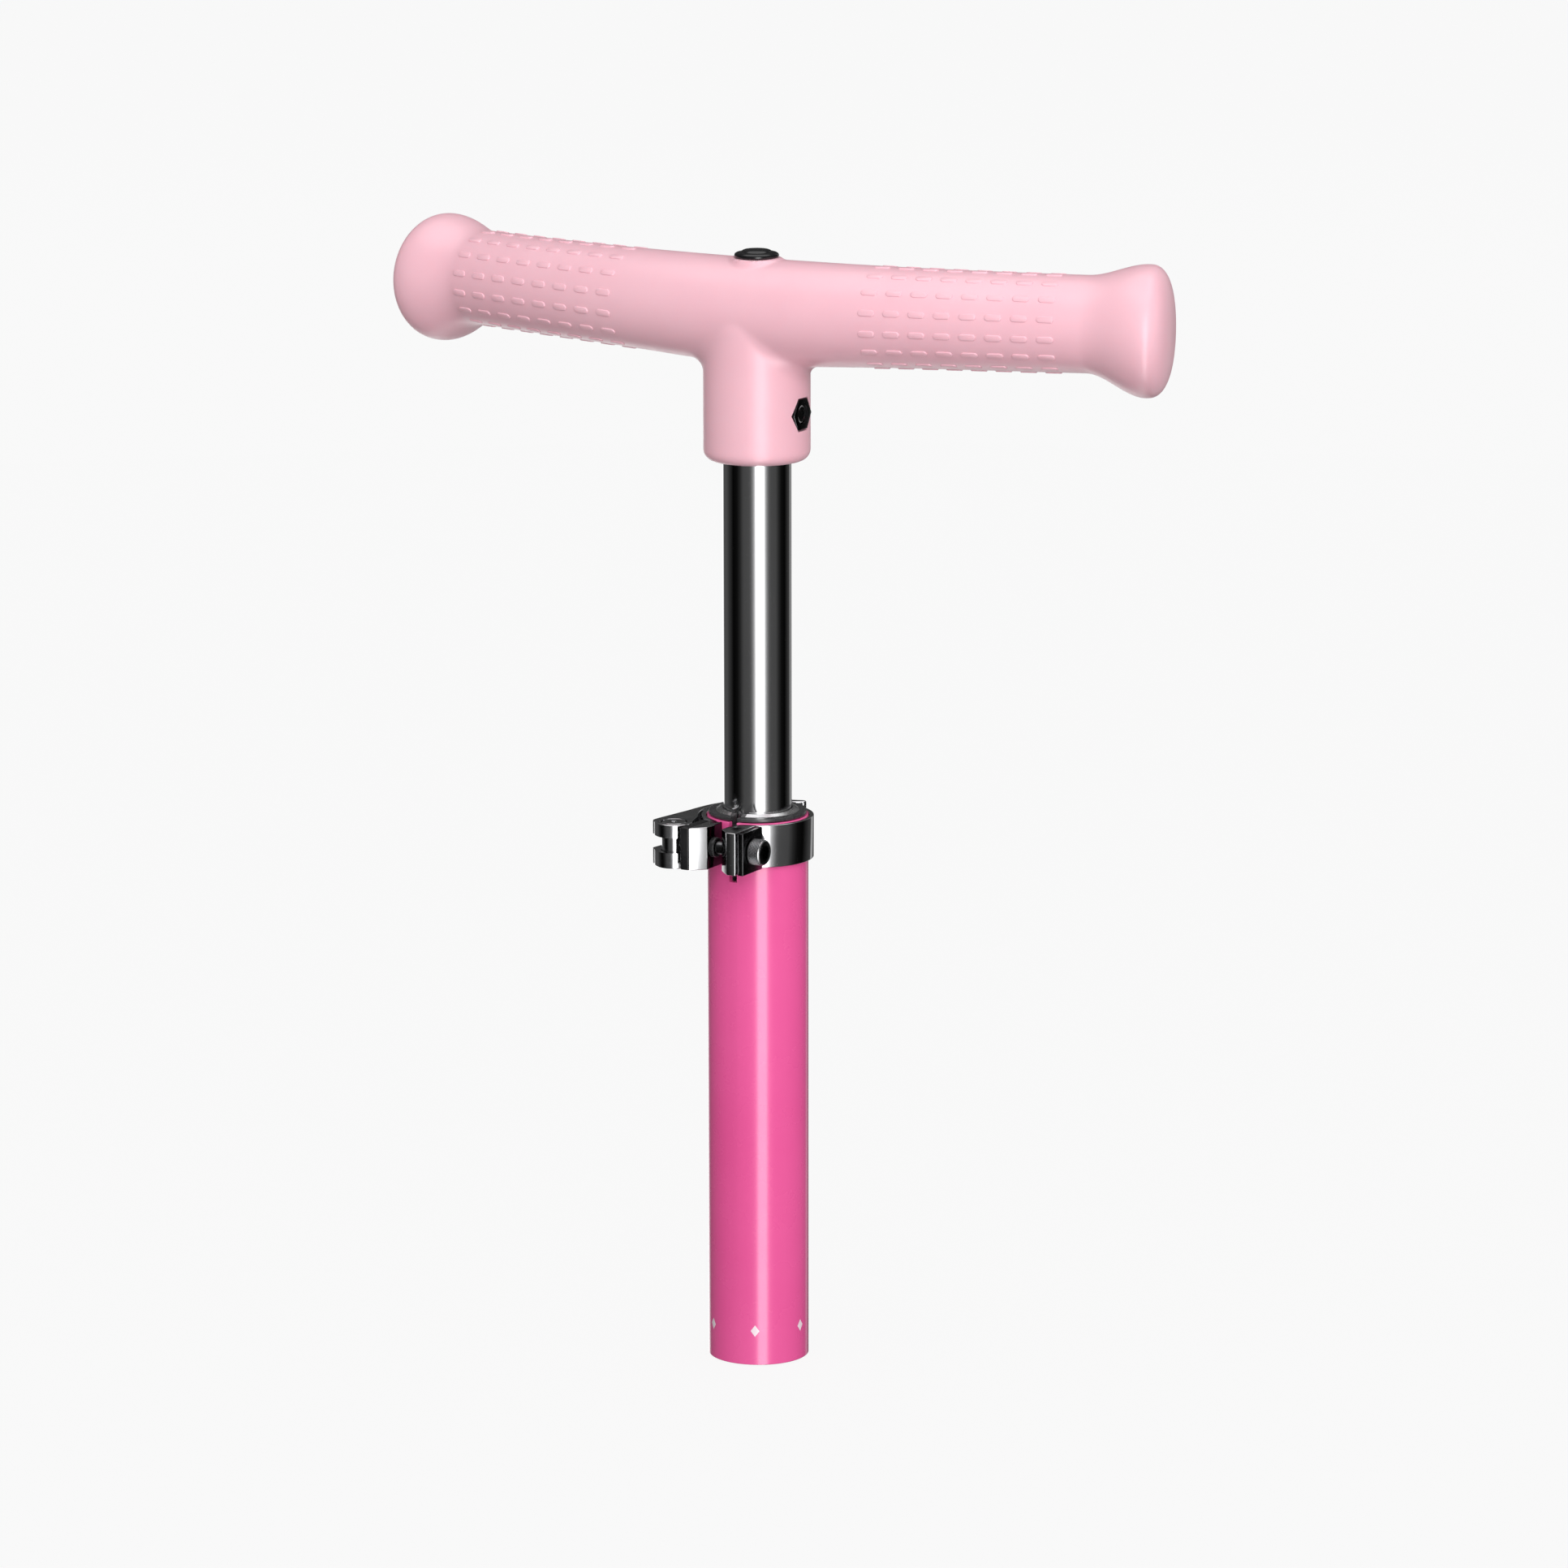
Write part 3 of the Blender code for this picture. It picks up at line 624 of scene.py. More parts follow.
def make_inner_tube():
    """The chromed telescopic tube."""
    corners = [(INNER_R, INNER_BOTTOM), (INNER_R, INNER_TOP)]
    corners += [(INNER_BORE_R, INNER_TOP), (INNER_BORE_R, INNER_BOTTOM)]
    tube = raw("tube_inner", turned(softened(corners, 0.3), 160))
    cut(tube, rod(CROSS_R + 0.4, -INNER_R - 3, INNER_R + 3, "X", 40), (0, 0, CROSS_Z))
    cut(tube, rod(HOLE_R, INNER_R - 5, INNER_R + 3, "Y", 40), (0, 0, BUTTON_Z))
    place(tube, "handlebar", ["inner_tube"], CHROME)


def make_upper_bushing():
    """The flanged guide between the tubes, with a raised lip round the inner tube."""
    bore, body, under = INNER_R + GAP, OUTER_BORE_R - GAP, OUTER_TOP + GAP
    corners = [(bore, BUSHING_BOTTOM), (body, BUSHING_BOTTOM), (body, under), (FLANGE_R, under)]
    corners += [(FLANGE_R, BUSHING_LEDGE), (LIP_R, BUSHING_LEDGE)]
    corners += [(LIP_TOP_R, BUSHING_TOP), (bore, BUSHING_TOP)]
    ring = raw("guide_bushing", turned(softened(corners, 0.22), 160))
    half = SLIT_WIDTH / 2 - 0.1
    cut(ring, box((-half, -OUTER_R - 2, BUSHING_BOTTOM - 2), (half, -bore + 3, BUSHING_TOP + 2)))
    place(ring, "column", ["upper_bushing"], BUSHING_PLASTIC)


def make_button():
    """The sprung height button, domed where it shows through the outer tube's hole."""
    (start, end), (shoulder, dome), rim, chamfer = BUTTON_FLANGE, BUTTON_DOME, BUTTON_FLANGE_R, 0.3
    profile = [(0, start), (rim - chamfer, start), (rim, start + chamfer), (rim, end - chamfer)]
    profile += [(rim - chamfer, end), (BUTTON_R, end), (BUTTON_R, shoulder)]
    for a in np.radians((10, 22, 35, 50, 65, 80)):
        profile.append((BUTTON_R * math.cos(a), shoulder + dome * math.sin(a)))
    button = raw("lock_button", along(turned(profile + [(0, shoulder + dome)], 64), "Y"), (0, 0, BUTTON_Z))
    place(button, "button", ["height_button"], CLAMP_CHROME)


def make_spring():
    """The leaf spring behind the button. The real one is squeezed as the button goes in; this mesh keeps one
    shape and rides on the handlebar.
    """
    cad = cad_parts["button_spring"]
    mesh = cad.data.copy()
    spring = bpy.data.objects.new("lock_spring", mesh)
    bpy.context.scene.collection.objects.link(spring)
    mesh.materials.clear()
    mesh.materials.append(SPRING_STEEL)
    step = spring.modifiers.new("bevel", "BEVEL")
    step.width = 0.00008
    step.segments = 2
    step.limit_method = "ANGLE"
    bake(spring)
    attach(spring, "handlebar")
    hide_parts("button_spring")
    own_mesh(spring)


# ---------------------------------------------------------------- clamp

def collar_outline():
    """The split ring with its two lugs, seen from above."""
    def on_circle(radius, x):
        return math.degrees(math.atan2(-math.sqrt(radius**2 - x**2), x))

    bore_start, bore_end = on_circle(COLLAR_BORE_R, RIGHT_LUG[0]), on_circle(COLLAR_BORE_R, LEFT_LUG[1]) + 360
    ring_start, ring_end = on_circle(COLLAR_R, LEFT_LUG[0]) + 360, on_circle(COLLAR_R, RIGHT_LUG[1])
    outline = arc(COLLAR_BORE_R, bore_start, bore_end, 150)
    outline += [(LEFT_LUG[1], LUG_FRONT_Y + LEFT_CHAMFER[1]), (LEFT_LUG[1] - LEFT_CHAMFER[0], LUG_FRONT_Y)]
    outline += arc(COLLAR_R, ring_start, ring_end, 140)
    outline += [(RIGHT_LUG[1], LUG_FRONT_Y), (RIGHT_LUG[0] + RIGHT_CHAMFER[0], LUG_FRONT_Y)]
    outline.append((RIGHT_LUG[0], LUG_FRONT_Y + RIGHT_CHAMFER[1]))
    return outline


def make_clamp():
    """The chromed collar and the two plates on its lugs."""
    along_bolt = (0, BOLT_Y, BOLT_Z)
    hole = BOLT_R + GAP + 0.05
    collar = raw("clamp_ring", prism(collar_outline(), COLLAR_BOTTOM, COLLAR_TOP))
    bevel(collar, 0.28)
    cut(collar, rod(hole, -15, 15, "X"), along_bolt)
    place(collar, "column", ["clamp_collar"], CLAMP_CHROME)

    for name, (left, right), front, node, slot_name, shader in (
            ("clamp_plate", SPACER, SPACER_FRONT_Y, "clamp_spacer", "black_steel", BLACK_STEEL),
            ("clamp_pad", SHOE, LUG_FRONT_Y, "clamp_shoe", "black_plastic", BLACK_PLASTIC)):
        plate = raw(name, box((left, front, COLLAR_BOTTOM), (right, PLATE_BACK_Y, COLLAR_TOP)))
        bevel(plate, 0.35)
        cut(plate, rod(hole, -15, 15, "X"), along_bolt)
        place(plate, "column", [node], shader)


def knurled_head():
    """The cap bolt's head as rings along X: diamond knurling between two chamfers."""
    segments, rows = 240, 26
    start, end = BOLT_HEAD
    first, length = start + 0.35, end - start - 1.0
    pitch = 2 * math.pi * BOLT_HEAD_R / KNURLS

    def ring(radius, x, depth=0.0):
        made = []
        for k in range(segments):
            a = 2 * math.pi * k / segments
            one = (a / (2 * math.pi) * KNURLS + (x - start) / pitch) % 1
            two = (a / (2 * math.pi) * KNURLS - (x - start) / pitch) % 1
            r = radius - depth * max(1 - 5 * min(one, 1 - one), 1 - 5 * min(two, 1 - two), 0)
            made.append((x, r * math.cos(a), r * math.sin(a)))
        return made

    rings = [ring(3.7, start), ring(BOLT_HEAD_R - 0.25, start + 0.02), ring(BOLT_HEAD_R, start + 0.25)]
    rings += [ring(BOLT_HEAD_R, first + length * k / rows, KNURL_DEPTH) for k in range(rows + 1)]
    rings += [ring(BOLT_HEAD_R, end - 0.6), ring(BOLT_HEAD_R - 0.1, end - 0.45)]
    return rings + [ring(BOLT_HEAD_R - 0.5, end - 0.05), ring(BOLT_HEAD_R - 0.62, end)]


def make_bolt():
    """The cap bolt, with a hexagon socket in its head and a threaded shank, and the ring on it."""
    start, end = BOLT_HEAD
    bolt = raw("clamp_bolt_knurled", lofted(knurled_head()), (0, BOLT_Y, BOLT_Z))
    cut(bolt, hexagon(SOCKET_ACROSS, end - SOCKET_DEPTH, end + 1), (0, BOLT_Y, BOLT_Z))

    tip = PIVOT_X - BOLT_TIP
    profile = [(0, tip), (1.5, tip)]
    for k in range(THREADS + 1):
        x = tip + 0.7 + THREAD_LENGTH * k / THREADS
        profile += [(BOLT_R - THREAD_DEPTH, x - 0.20), (BOLT_R, x)]
    profile += [(BOLT_R, start + 1.0), (0, start + 1.0)]
    shank = along(turned(profile, 48), "X")
    combine(bolt, shank, "UNION", (0, BOLT_Y, BOLT_Z))
    place(bolt, "column", ["clamp_bolt"], BOLT_STEEL, 40)

    bore = BOLT_R + GAP
    corners = [(KEEPER_R, 0), (KEEPER_R, KEEPER_WIDTH), (bore, KEEPER_WIDTH), (bore, 0)]
    ring = along(turned(softened(corners, 0.35), 72), "X")
    keeper = raw("bolt_ring", ring, (LEFT_LUG[1] + GAP, BOLT_Y, BOLT_Z))
    place(keeper, "column", ["bolt_keeper_ring"], BLACK_PLASTIC)


def make_barrel_nut():
    """The cross nut that the lever turns on, with rounded ends and a dimple on top."""
    corners = [(0, LEVER_BOTTOM), (BARREL_R, LEVER_BOTTOM), (BARREL_R, LEVER_TOP), (0, LEVER_TOP)]
    nut = raw("pivot_nut", turned(softened(corners, 0.55), 96), (PIVOT_X, BOLT_Y, 0))
    cut(nut, rod(BOLT_R + GAP, -3.0, 6.0, "X", 48), (PIVOT_X, BOLT_Y, BOLT_Z))
    cut(nut, rod(1.5, LEVER_TOP - 1.0, LEVER_TOP + 1, "Z", 48), (PIVOT_X, BOLT_Y, 0))
    place(nut, "column", ["barrel_nut"], CLAMP_CHROME)


def lever_outline():
    """The lever from above: a cam head and an arm that wraps round the collar to a finger tip."""
    centre = (PIVOT_X, BOLT_Y)
    cam = arc(CAM_R, 38, -130, 56, centre)
    heel = [(PIVOT_X + r * math.cos(math.radians(a)), BOLT_Y + r * math.sin(math.radians(a)))
            for a, r in ((-145, CAM_R + 0.25), (-160, CAM_R + 0.5), (-175, 7.6), (170, 7.7))]
    outer = [(-25.0, -17.5), (-23.2, -7.0), (-21.7, 3.0), (-19.5, 9.6), (-15.8, 15.8), (-10.8, 20.4)]
    outer += [(-5.0, 23.4), (0.2, 25.1), (2.8, 25.9)]
    back = curve_through([cam[-1]] + heel + outer)
    tip = arc(1.2, 75, -75, 10, (3.1, 24.7))
    inner = [(1.4, 22.2), (-1.0, 20.5)]
    inner += arc(ARM_INNER_R, 97, 214, 72)
    return cam[:-1] + back + tip + inner


def make_lever():
    """The quick-release lever, forked round the nut."""
    lever = raw("release_lever", prism(lever_outline(), LEVER_BOTTOM, LEVER_TOP))
    bevel(lever, 0.45)
    cut(lever, rod(BARREL_R + GAP, LEVER_BOTTOM - 2, LEVER_TOP + 2, "Z", 96), (PIVOT_X, BOLT_Y, 0))
    low, high = BOLT_Z - FORK_SLOT / 2, BOLT_Z + FORK_SLOT / 2
    slot = box((PIVOT_X - 12, BOLT_Y - 12, low), (PIVOT_X + 12, FORK_BACK_Y, high))
    cut(lever, slot)
    place(lever, "lever", ["cam_lever"], LEVER_METAL)


# ---------------------------------------------------------------- handlebar

def ease(share):
    """A smooth step from 0 to 1, on arrays too."""
    share = np.clip(share, 0.0, 1.0)
    return share * share * (3 - 2 * share)


def swell(distance):
    """How much thicker the bar is than near its flares."""
    return BAR_SWELL / (1 + (distance / SWELL_REACH) ** 2)


def bar_radius(distance):
    """The bar's radius at a distance along it, up to the peak of the flare."""
    plain = BAR_R + swell(distance)
    return plain + (FLARE_R - plain) * ease((distance - FLARE_START) / (FLARE_PEAK - FLARE_START))


def bar_drop(distance):
    """How far the centre line lies below BAR_Z: the top stays level, and the flares hang."""
    return swell(distance) + FLARE_DROP * ease((distance - FLARE_START) / (FLARE_PEAK - FLARE_START))


def bar_coordinates(points):
    """Distance along the bar's curved centre line, and the two offsets from it."""
    turn_r = 1 / BAR_CURVATURE
    x, y, z = points.T
    u = np.arctan2(x, turn_r - y) * turn_r
    return u, turn_r - np.hypot(x, turn_r - y), z - BAR_Z + bar_drop(np.abs(u))


def bar_point(u, a, height=0.0):
    """The point at a distance along the bar and an angle round it, raised off the surface."""
    turn = BAR_CURVATURE * u
    radius = float(bar_radius(abs(u))) + height
    drop = float(bar_drop(abs(u)))
    side = radius * math.cos(a)
    x = math.sin(turn) / BAR_CURVATURE - side * math.sin(turn)
    y = (1 - math.cos(turn)) / BAR_CURVATURE + side * math.cos(turn)
    return x, y, BAR_Z - drop + radius * math.sin(a)


def bar_field(points):
    """Signed distance, near enough, to the flared bar."""
    u, a, b = bar_coordinates(points)
    distance, w = np.abs(u), np.hypot(a, b)
    plain = w - bar_radius(distance)
    span = BAR_HALF_LENGTH - FLARE_PEAK
    beyond = np.maximum(distance - FLARE_PEAK, 0)
    n = FLARE_SQUARENESS
    level = np.maximum((w / FLARE_R) ** n + (beyond / span) ** n, 1e-9) ** (1 / n)
    across, ahead = (w / FLARE_R) ** (n - 1) / FLARE_R, (beyond / span) ** (n - 1) / span
    slope = np.hypot(across, ahead) * level ** (1 - n)
    return np.where(distance <= FLARE_PEAK, plain, (level - 1) / np.maximum(slope, 1e-6))


def stem_field(points):
    """Signed distance to the round stem with its rounded foot and its dome inside the bar."""
    x, y, z = points.T
    rho = np.hypot(x, y)
    out, down = rho - (STEM_R - STEM_FILLET), STEM_BOTTOM + STEM_FILLET - z
    corner = np.hypot(np.maximum(out, 0), np.maximum(down, 0))
    body = corner + np.minimum(np.maximum(out, down), 0) - STEM_FILLET
    rise = STEM_DOME - STEM_SHOULDER
    above = np.maximum(z - STEM_SHOULDER, 0)
    level = np.sqrt((rho / STEM_R) ** 2 + (above / rise) ** 2)
    slope = np.sqrt((rho / STEM_R**2) ** 2 + (above / rise**2) ** 2) / np.maximum(level, 1e-6)
    return np.where(z <= STEM_SHOULDER, body, (level - 1) / np.maximum(slope, 1e-6))


def seat_field(points):
    """Signed distance to the low round boss under the cap."""
    x, y, z = points.T
    return np.maximum(np.hypot(x, y) - CAP_SEAT_R, np.maximum(z - CAP_SEAT_Z, BAR_Z - z))


def rounded_union(first, second, radius):
    """Two fields joined with a fillet of a given radius."""
    hollow = np.hypot(np.maximum(radius - first, 0), np.maximum(radius - second, 0))
    return np.maximum(radius, np.minimum(first, second)) - hollow


def grip_field(points):
    """Signed distance to the grip: the fillet fades where stem and bar run side by side."""
    u, a, b = bar_coordinates(points)
    turn = BAR_CURVATURE * u
    across = np.stack((-a * np.sin(turn), a * np.cos(turn), b), 1)
    rise = STEM_DOME - STEM_SHOULDER
    lift = np.maximum(points[:, 2] - STEM_SHOULDER, 0) * (STEM_R / rise) ** 2
    outward = np.stack((points[:, 0], points[:, 1], lift), 1)
    sizes = np.sqrt((across**2).sum(1) * (outward**2).sum(1))
    agree = np.clip((across * outward).sum(1) / np.maximum(sizes, 1e-6), 0, 1)
    radius = np.maximum(CROTCH_FILLET * (1 - agree), 0.05)
    field = rounded_union(bar_field(points), stem_field(points), radius)
    return rounded_union(field, seat_field(points), 1.0)


def gradient(points):
    """The field's slope at each point."""
    step = 0.01
    parts = []
    for axis in range(3):
        shift = np.zeros(3)
        shift[axis] = step
        parts.append((grip_field(points + shift) - grip_field(points - shift)) / (2 * step))
    return np.stack(parts, 1)


def bar_rings(stations, radius_at, segments, drop_at):
    """Rings across the bar at distances along it."""
    rings = []
    for u in stations:
        turn = BAR_CURVATURE * u
        drop = float(drop_at(abs(u)))
        ring = []
        for k in range(segments):
            a = 2 * math.pi * k / segments
            side = radius_at(u) * math.cos(a)
            x = math.sin(turn) / BAR_CURVATURE - side * math.sin(turn)
            y = (1 - math.cos(turn)) / BAR_CURVATURE + side * math.cos(turn)
            ring.append((x, y, BAR_Z - drop + radius_at(u) * math.sin(a)))
        rings.append(ring)
    return rings


def grip_blank():
    """A rough T, remeshed finely, that the field then pulls to its true shape."""
    def radius_at(u):
        if abs(u) <= FLARE_PEAK:
            return float(bar_radius(abs(u)))
        share = (abs(u) - FLARE_PEAK) / (BAR_HALF_LENGTH - FLARE_PEAK)
        return FLARE_R * max(1 - share**FLARE_SQUARENESS, 0.0) ** (1 / FLARE_SQUARENESS)

    half = list(np.linspace(0, FLARE_PEAK, 60)) + [
        FLARE_PEAK + (BAR_HALF_LENGTH - FLARE_PEAK) * math.sin(math.radians(a)) for a in range(8, 90, 8)]
    stations = [-u for u in reversed(half[1:])] + half
    blank = raw("grip", lofted(bar_rings(stations, radius_at, 72, bar_drop)))
    profile = [(0, STEM_BOTTOM), (STEM_R - 1, STEM_BOTTOM), (STEM_R, STEM_BOTTOM + 1)]
    profile += [(STEM_R, STEM_SHOULDER + 4), (0, STEM_SHOULDER + 4)]
    combine(blank, turned(profile, 96), "UNION")
    collar = [(0, 327), (STEM_R, 327), (STEM_R + 4, BAR_Z - 14), (STEM_R + 4, BAR_Z - 6), (0, BAR_Z - 6)]
    wedge = turned(collar, 64)
    bmesh.ops.scale(wedge, vec=(1, 0.6, 1), verts=wedge.verts)
    combine(blank, wedge, "UNION")
    combine(blank, rod(CAP_SEAT_R, BAR_Z, CAP_SEAT_Z), "UNION")
    remesh = blank.modifiers.new("remesh", "REMESH")
    remesh.mode = "VOXEL"
    remesh.voxel_size = 0.85
    bake(blank)
    return blank


def pull_to_field(obj):
    """Move every point of the mesh onto the grip's surface."""
    mesh = obj.data
    points = np.empty(len(mesh.vertices) * 3)
    mesh.vertices.foreach_get("co", points)
    points = points.reshape(-1, 3)
    edges = np.empty(len(mesh.edges) * 2, dtype=int)
    mesh.edges.foreach_get("vertices", edges)
    edges = edges.reshape(-1, 2)
    degree = np.bincount(edges.ravel(), minlength=len(points))[:, None]
    for turn in range(10):
        slope = gradient(points)
        size = np.maximum((slope**2).sum(1), 0.05)
        step = np.clip(grip_field(points) / size, -1.5, 1.5)
        points = points - step[:, None] * slope
        if turn < 6:
            total = np.zeros_like(points)
            np.add.at(total, edges[:, 0], points[edges[:, 1]])
            np.add.at(total, edges[:, 1], points[edges[:, 0]])
            drift = total / degree - points
            normal = slope / np.sqrt((slope**2).sum(1, keepdims=True))
            drift -= (drift * normal).sum(1, keepdims=True) * normal
            points = points + 0.5 * drift
    mesh.vertices.foreach_set("co", points.ravel())
    mesh.update()


def stud_rings(u, a):
    """The rings of one raised dash: a long pill with soft shoulders, its base sunk in the grip."""
    rings = []
    for inset, height in STUD_STEPS:
        half, radius = STUD_LENGTH / 2 - STUD_WIDTH / 2, STUD_WIDTH / 2 - inset
        ring = []
        for k in range(9):
            t = math.radians(-90 + 180 * k / 8)
            ring.append((half + radius * math.cos(t), radius * math.sin(t)))
        for k in range(9):
            t = math.radians(90 + 180 * k / 8)
            ring.append((-half + radius * math.cos(t), radius * math.sin(t)))
        radius_here = float(bar_radius(abs(u)))
        rings.append([bar_point(u + along_u, a + across / radius_here, height) for along_u, across in ring])
    return rings


def make_studs():
    """All raised dashes of both arms in one mesh."""
    bodies = []
    for side, (first, pitch) in ((-1, LEFT_STUDS), (1, RIGHT_STUDS)):
        for column in range(STUD_COLUMNS):
            for row in range(STUD_ROWS):
                bodies.append(stud_rings(side * (first + pitch * column), math.radians(360 / STUD_ROWS * row)))
    return lofted(*bodies)


def make_grip():
    """The soft grip over the whole T, hollow for its core, with raised dashes on both arms."""
    grip = grip_blank()
    pull_to_field(grip)
    room = CORE_HALF_LENGTH + GAP
    stations = list(np.linspace(-room, room, 40))
    cut(grip, lofted(bar_rings(stations, lambda u: BAR_R - GRIP_WALL, 64, lambda u: 0.0)), solver="MANIFOLD")
    room_r, dome = STEM_R - GRIP_WALL + 1.0, 19.0
    profile = [(0, STEM_BOTTOM + 2.5), (room_r, STEM_BOTTOM + 2.5), (room_r, STEM_SHOULDER)]
    for a in np.radians((20, 40, 60, 80)):
        profile.append((room_r * math.cos(a), STEM_SHOULDER + dome * math.sin(a)))
    cut(grip, turned(profile + [(0, STEM_SHOULDER + dome + 0.2)], 96), solver="MANIFOLD")
    cut(grip, rod(INNER_R + GAP, STEM_BOTTOM - 5, STEM_BOTTOM + 6, "Z", 128), solver="MANIFOLD")
    at_cross = (0, 0, CROSS_Z)
    cut(grip, hexagon(NUT_ACROSS + 0.8, CROSS_SEAT, STEM_R + 3), at_cross, "MANIFOLD")
    cut(grip, rod(CROSS_HEAD_R + 0.55, -STEM_R - 3, -CROSS_SEAT, "X", 64), at_cross, "MANIFOLD")
    cut(grip, rod(CAP_STEM_R + GAP, CAP_STEM_BOTTOM - 1, CAP_SEAT_Z + 7.6, "Z", 48), solver="MANIFOLD")
    combine(grip, make_studs(), "UNION", solver="MANIFOLD")
    grip.name = "soft_grip"
    place(grip, "handlebar", ["handlebar_grip"], GRIP, 42)


def make_fasteners():
    """The cross bolt and nut through the stem, and the cap on top."""
    seat = CROSS_SEAT + GAP
    head = [(0, -seat - 3.2), (2.4, -seat - 3.2), (3.4, -seat - 2.95), (4.4, -seat - 2.3), (5.0, -seat - 1.3)]
    head += [(CROSS_HEAD_R, -seat - 0.6), (CROSS_HEAD_R, -seat), (CROSS_R, -seat), (CROSS_R, STEM_R - 1.4)]
    head += [(2.5, STEM_R - 0.8), (2.2, STEM_R - 0.7), (1.9, STEM_R - 0.95), (0, STEM_R - 1.0)]
    bolt = raw("stem_bolt", along(turned(head, 96), "X"), (0, 0, CROSS_Z))
    cut(bolt, hexagon(SOCKET_ACROSS, -seat - 5, -seat - 1.4), (0, 0, CROSS_Z))
    place(bolt, "handlebar", ["cross_bolt"], TIP_STEEL)

    nut = raw("stem_nut", hexagon(NUT_ACROSS, seat, seat + NUT_HEIGHT), (0, 0, CROSS_Z))
    bevel(nut, 0.35)
    cut(nut, rod(CROSS_R + GAP, 0, 30, "X", 64), (0, 0, CROSS_Z))
    place(nut, "handlebar", ["cross_nut"], BLACK_STEEL)

    base = CAP_SEAT_Z + GAP
    profile = [(0, CAP_STEM_BOTTOM), (CAP_STEM_R - 0.4, CAP_STEM_BOTTOM), (CAP_STEM_R, CAP_STEM_BOTTOM + 0.6)]
    profile += [(CAP_STEM_R, base), (CAP_R - 0.15, base), (CAP_R, base + 0.15)]
    profile += [(CAP_R, base + 0.7), (CAP_R - 0.2, base + 1.1), (CAP_R - 0.8, base + 1.45)]
    profile += [(CAP_R - 1.6, base + 1.62), (CAP_R - 2.2, base + 1.66), (CAP_R - 2.4, base + 1.9)]
    profile += [(CAP_R - 2.7, base + 2.15)]
    profile += [(CAP_R - 3.4, base + 2.38), (2.6, base + 2.5), (1.4, base + 2.6), (0, base + 2.63)]
    cap = raw("bar_cap", turned(profile, 96))
    place(cap, "handlebar", ["top_cap"], CAP_PLASTIC, 50)


def dress_hidden_nodes():
    """The CAD pieces that stay: the core and the guide sleeve."""
    for node, shader in (("handlebar_core", CORE_PLASTIC), ("guide_sleeve", BUSHING_PLASTIC)):
        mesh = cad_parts[node].data
        mesh.materials.clear()
        mesh.materials.append(shader)


# ---------------------------------------------------------------- studio

def make_world():
    """Pale to the camera; a dark studio with bright strips in reflections; soft fill for everything else."""
    world = bpy.data.worlds.new("studio")
    bpy.context.scene.world = world
    world.use_nodes = True
    world.cycles.sampling_method = "NONE"
    tree = world.node_tree
    tree.nodes.clear()
    where = tree.nodes.new("ShaderNodeTexCoord")
    split = tree.nodes.new("ShaderNodeSeparateXYZ")
    tree.links.new(where.outputs["Generated"], split.inputs[0])
    x, y, z = split.outputs
    azimuth = math_node(tree, "ARCTAN2", x, math_node(tree, "MULTIPLY", y, -1.0))
    wrapped = math_node(tree, "WRAP", math_node(tree, "SUBTRACT", azimuth, math.radians(KEY_AZIMUTH)),
                        math.pi, -math.pi)
    share = math_node(tree, "MULTIPLY_ADD", wrapped, 0.5 / math.pi, 0.5)
    ramp = tree.nodes.new("ShaderNodeValToRGB")
    tree.links.new(share, ramp.inputs[0])
    mirrored = tuple((-degrees, level) for degrees, level in reversed(BOTH_SIDES))
    stops = FAR_LEFT + mirrored + BOTH_SIDES + FAR_RIGHT
    elements = ramp.color_ramp.elements
    for k, (degrees, level) in enumerate(stops):
        stop = elements[k] if k < 2 else elements.new(degrees / 360 + 0.5)
        stop.position = degrees / 360 + 0.5
        stop.color = (level, level, level, 1)
    aside = math_node(tree, "ABSOLUTE", wrapped)
    behind = spread(tree, aside, 0.0, 1.0, (math.radians(REAR_STRIP[0]), math.pi))
    below = spread(tree, z, 1.0, 0.0, (-0.04, 0.0))
    strips = mix_colour(tree, both(tree, behind, below), ramp.outputs[0], (REAR_STRIP[1],) * 3)
    low = mix_colour(tree, spread(tree, z, 0.0, 1.0, (0.3, 0.6)), strips, (MIDWAY_LEVEL,) * 3)
    glossy = mix_colour(tree, spread(tree, z, 0.0, 1.0, (0.74, 0.86)), low, (CEILING_LEVEL,) * 3)

    fill = mix_colour(tree, spread(tree, z, 0.0, 1.0, (-0.6, 0.7)), FILL_BELOW, FILL_ABOVE)
    paths = tree.nodes.new("ShaderNodeLightPath")
    lit = mix_colour(tree, paths.outputs["Is Glossy Ray"], fill, glossy)
    seen = mix_colour(tree, paths.outputs["Is Camera Ray"], lit, (BACKDROP_LEVEL,) * 3)
    background = tree.nodes.new("ShaderNodeBackground")
    out = tree.nodes.new("ShaderNodeOutputWorld")
    tree.links.new(seen, background.inputs["Color"])
    tree.links.new(background.outputs[0], out.inputs[0])


def towards(azimuth, elevation):
    """The direction from the object at two angles in degrees; azimuth 0 is the front."""
    a, e = math.radians(azimuth), math.radians(elevation)
    return Vector((math.sin(a) * math.cos(e), -math.cos(a) * math.cos(e), math.sin(e)))


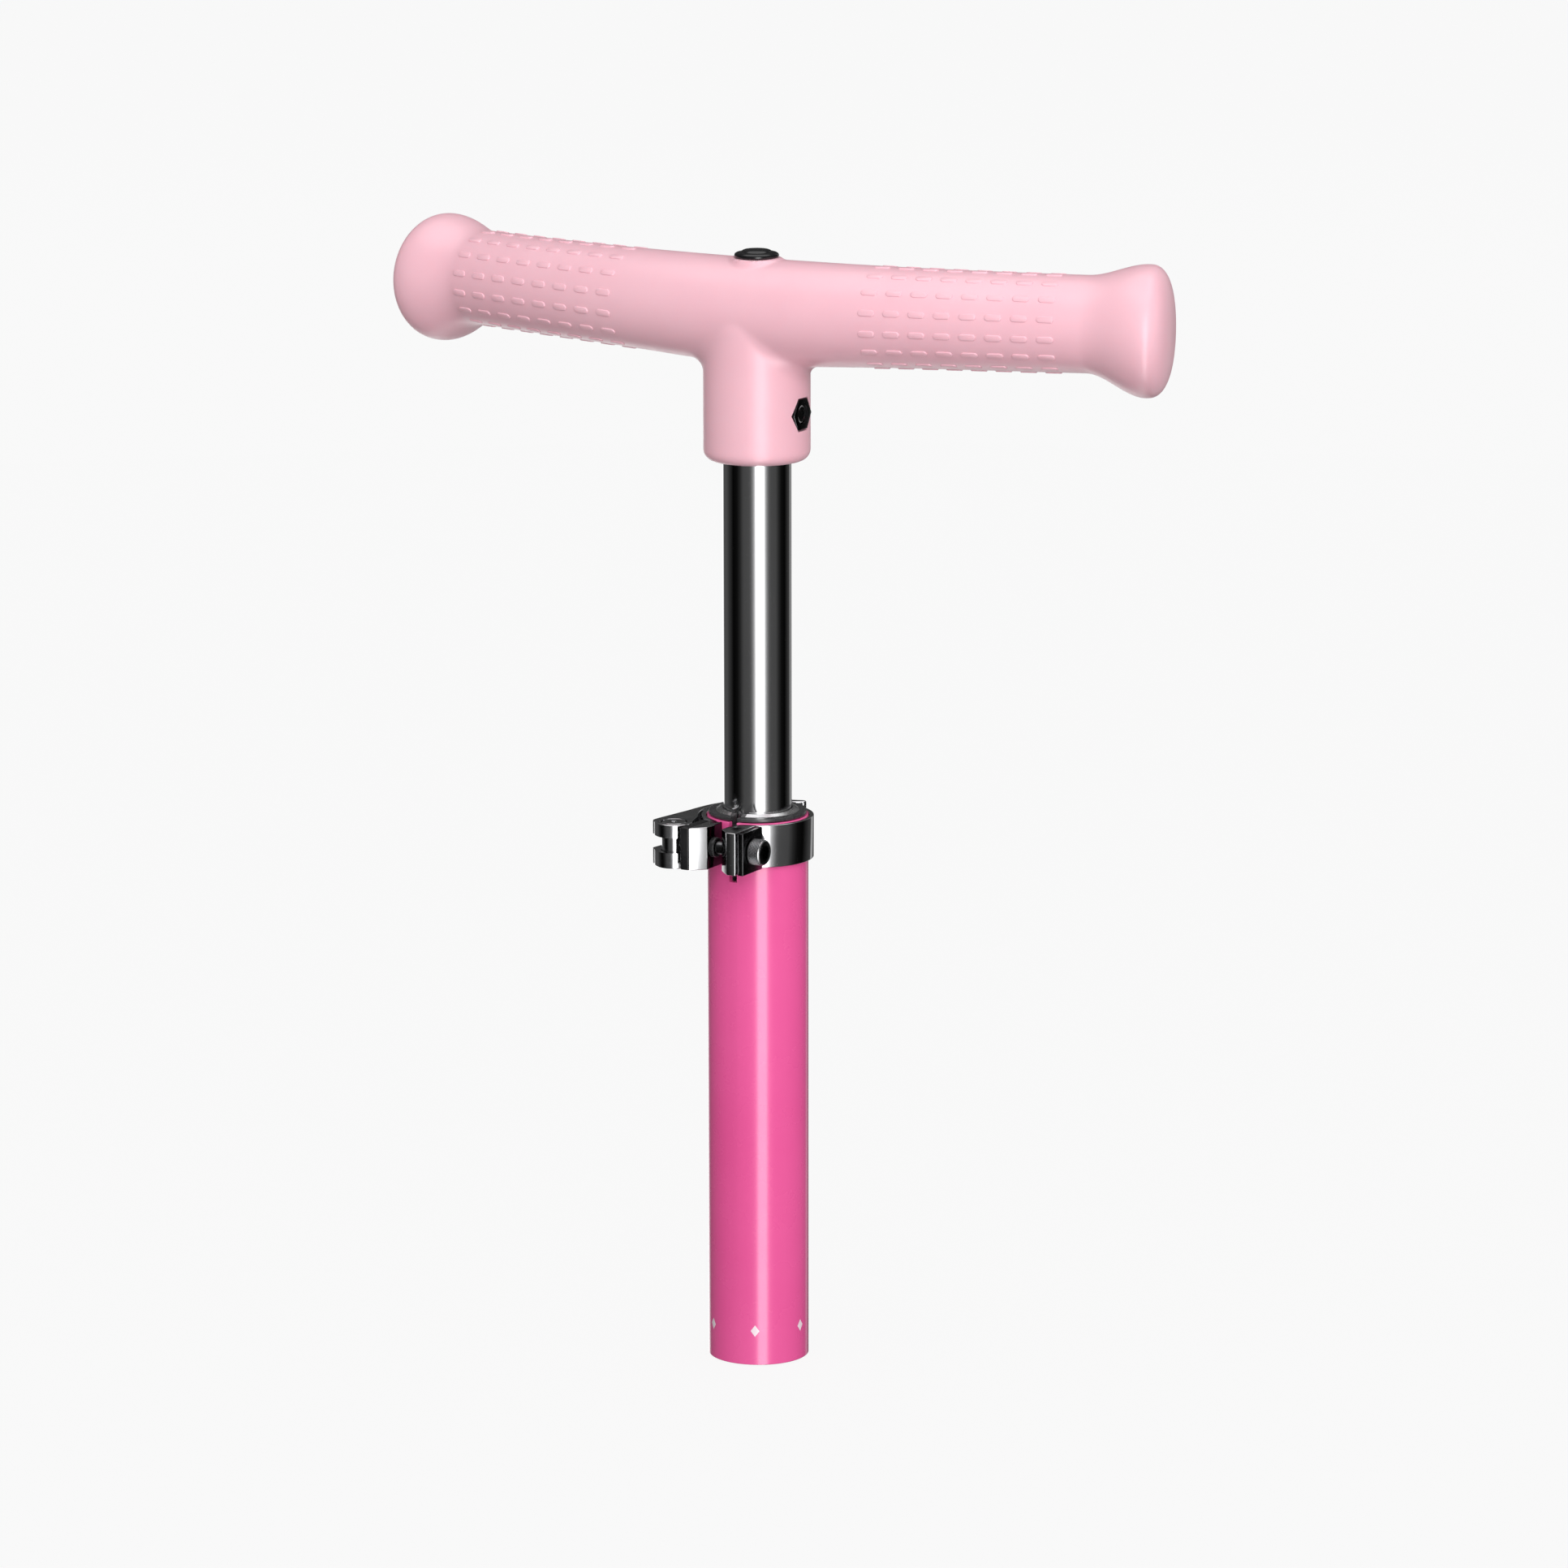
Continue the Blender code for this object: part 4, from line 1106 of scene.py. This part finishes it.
def make_light(name, turn, elevation, size, watts):
    """A soft round light, at an angle from the camera's azimuth; metal does not mirror it."""
    data = bpy.data.lights.new(name, "AREA")
    data.shape = "DISK"
    data.size = size
    data.energy = watts
    light = bpy.data.objects.new(name, data)
    bpy.context.scene.collection.objects.link(light)
    light.location = Vector(LIGHT_TARGET) + towards(CAMERA_AZIMUTH + turn, elevation) * LIGHT_DISTANCE
    direction = Vector(LIGHT_TARGET) - light.location
    light.rotation_euler = direction.to_track_quat("-Z", "Y").to_euler()
    light.visible_glossy = False


def make_floor():
    """A wide pale disc that the column stands on."""
    floor = raw("floor", turned([(0, 0), (400, 0), (3000, 0), (14000, 0)], 96))
    floor.data.transform(Matrix.Scale(MM, 4))
    floor.location.z = -0.0004
    made, tree, shader = new_shader("floor_pale")
    drift = noise(tree, 0.4, 2.0)
    colour = mix_colour(tree, drift, (0.050, 0.050, 0.050), (0.055, 0.055, 0.055))
    tree.links.new(colour, shader.inputs["Base Color"])
    shader.inputs["Roughness"].default_value = 0.9
    shader.inputs["Specular IOR Level"].default_value = 0.0
    shader.inputs["Emission Color"].default_value = (1, 1, 1, 1)
    shader.inputs["Emission Strength"].default_value = FLOOR_GLOW
    floor.data.materials.append(made)
    floor.visible_glossy = False
    floor.visible_diffuse = False


def make_camera():
    """The camera at the photograph's angle and distance."""
    data = bpy.data.cameras.new("view")
    data.lens = CAMERA_LENS
    data.sensor_width = 36.0
    data.shift_x = CAMERA_SHIFT_X
    data.clip_end = 100.0
    camera = bpy.data.objects.new("view", data)
    bpy.context.scene.collection.objects.link(camera)
    a = math.radians(CAMERA_AZIMUTH)
    target = Vector((CAMERA_ASIDE * math.cos(a), CAMERA_ASIDE * math.sin(a), CAMERA_HEIGHT)) * MM
    out = towards(CAMERA_AZIMUTH, CAMERA_ELEVATION)
    turn = (-out).to_track_quat("-Z", "Y").to_matrix() @ Matrix.Rotation(math.radians(CAMERA_ROLL), 3, "Z")
    camera.location = target + out * CAMERA_DISTANCE * MM
    camera.rotation_euler = turn.to_euler()
    bpy.context.scene.camera = camera


make_outer_tube()
make_inner_tube()
make_upper_bushing()
make_button()
make_spring()
make_clamp()
make_bolt()
make_barrel_nut()
make_lever()
make_grip()
make_fasteners()
dress_hidden_nodes()

make_world()
for light in LIGHTS:
    make_light(*light)
make_floor()
make_camera()
bpy.context.scene.view_settings.view_transform = "Standard"

for item in list(bpy.data.meshes):
    if item.users == 0:
        bpy.data.meshes.remove(item)
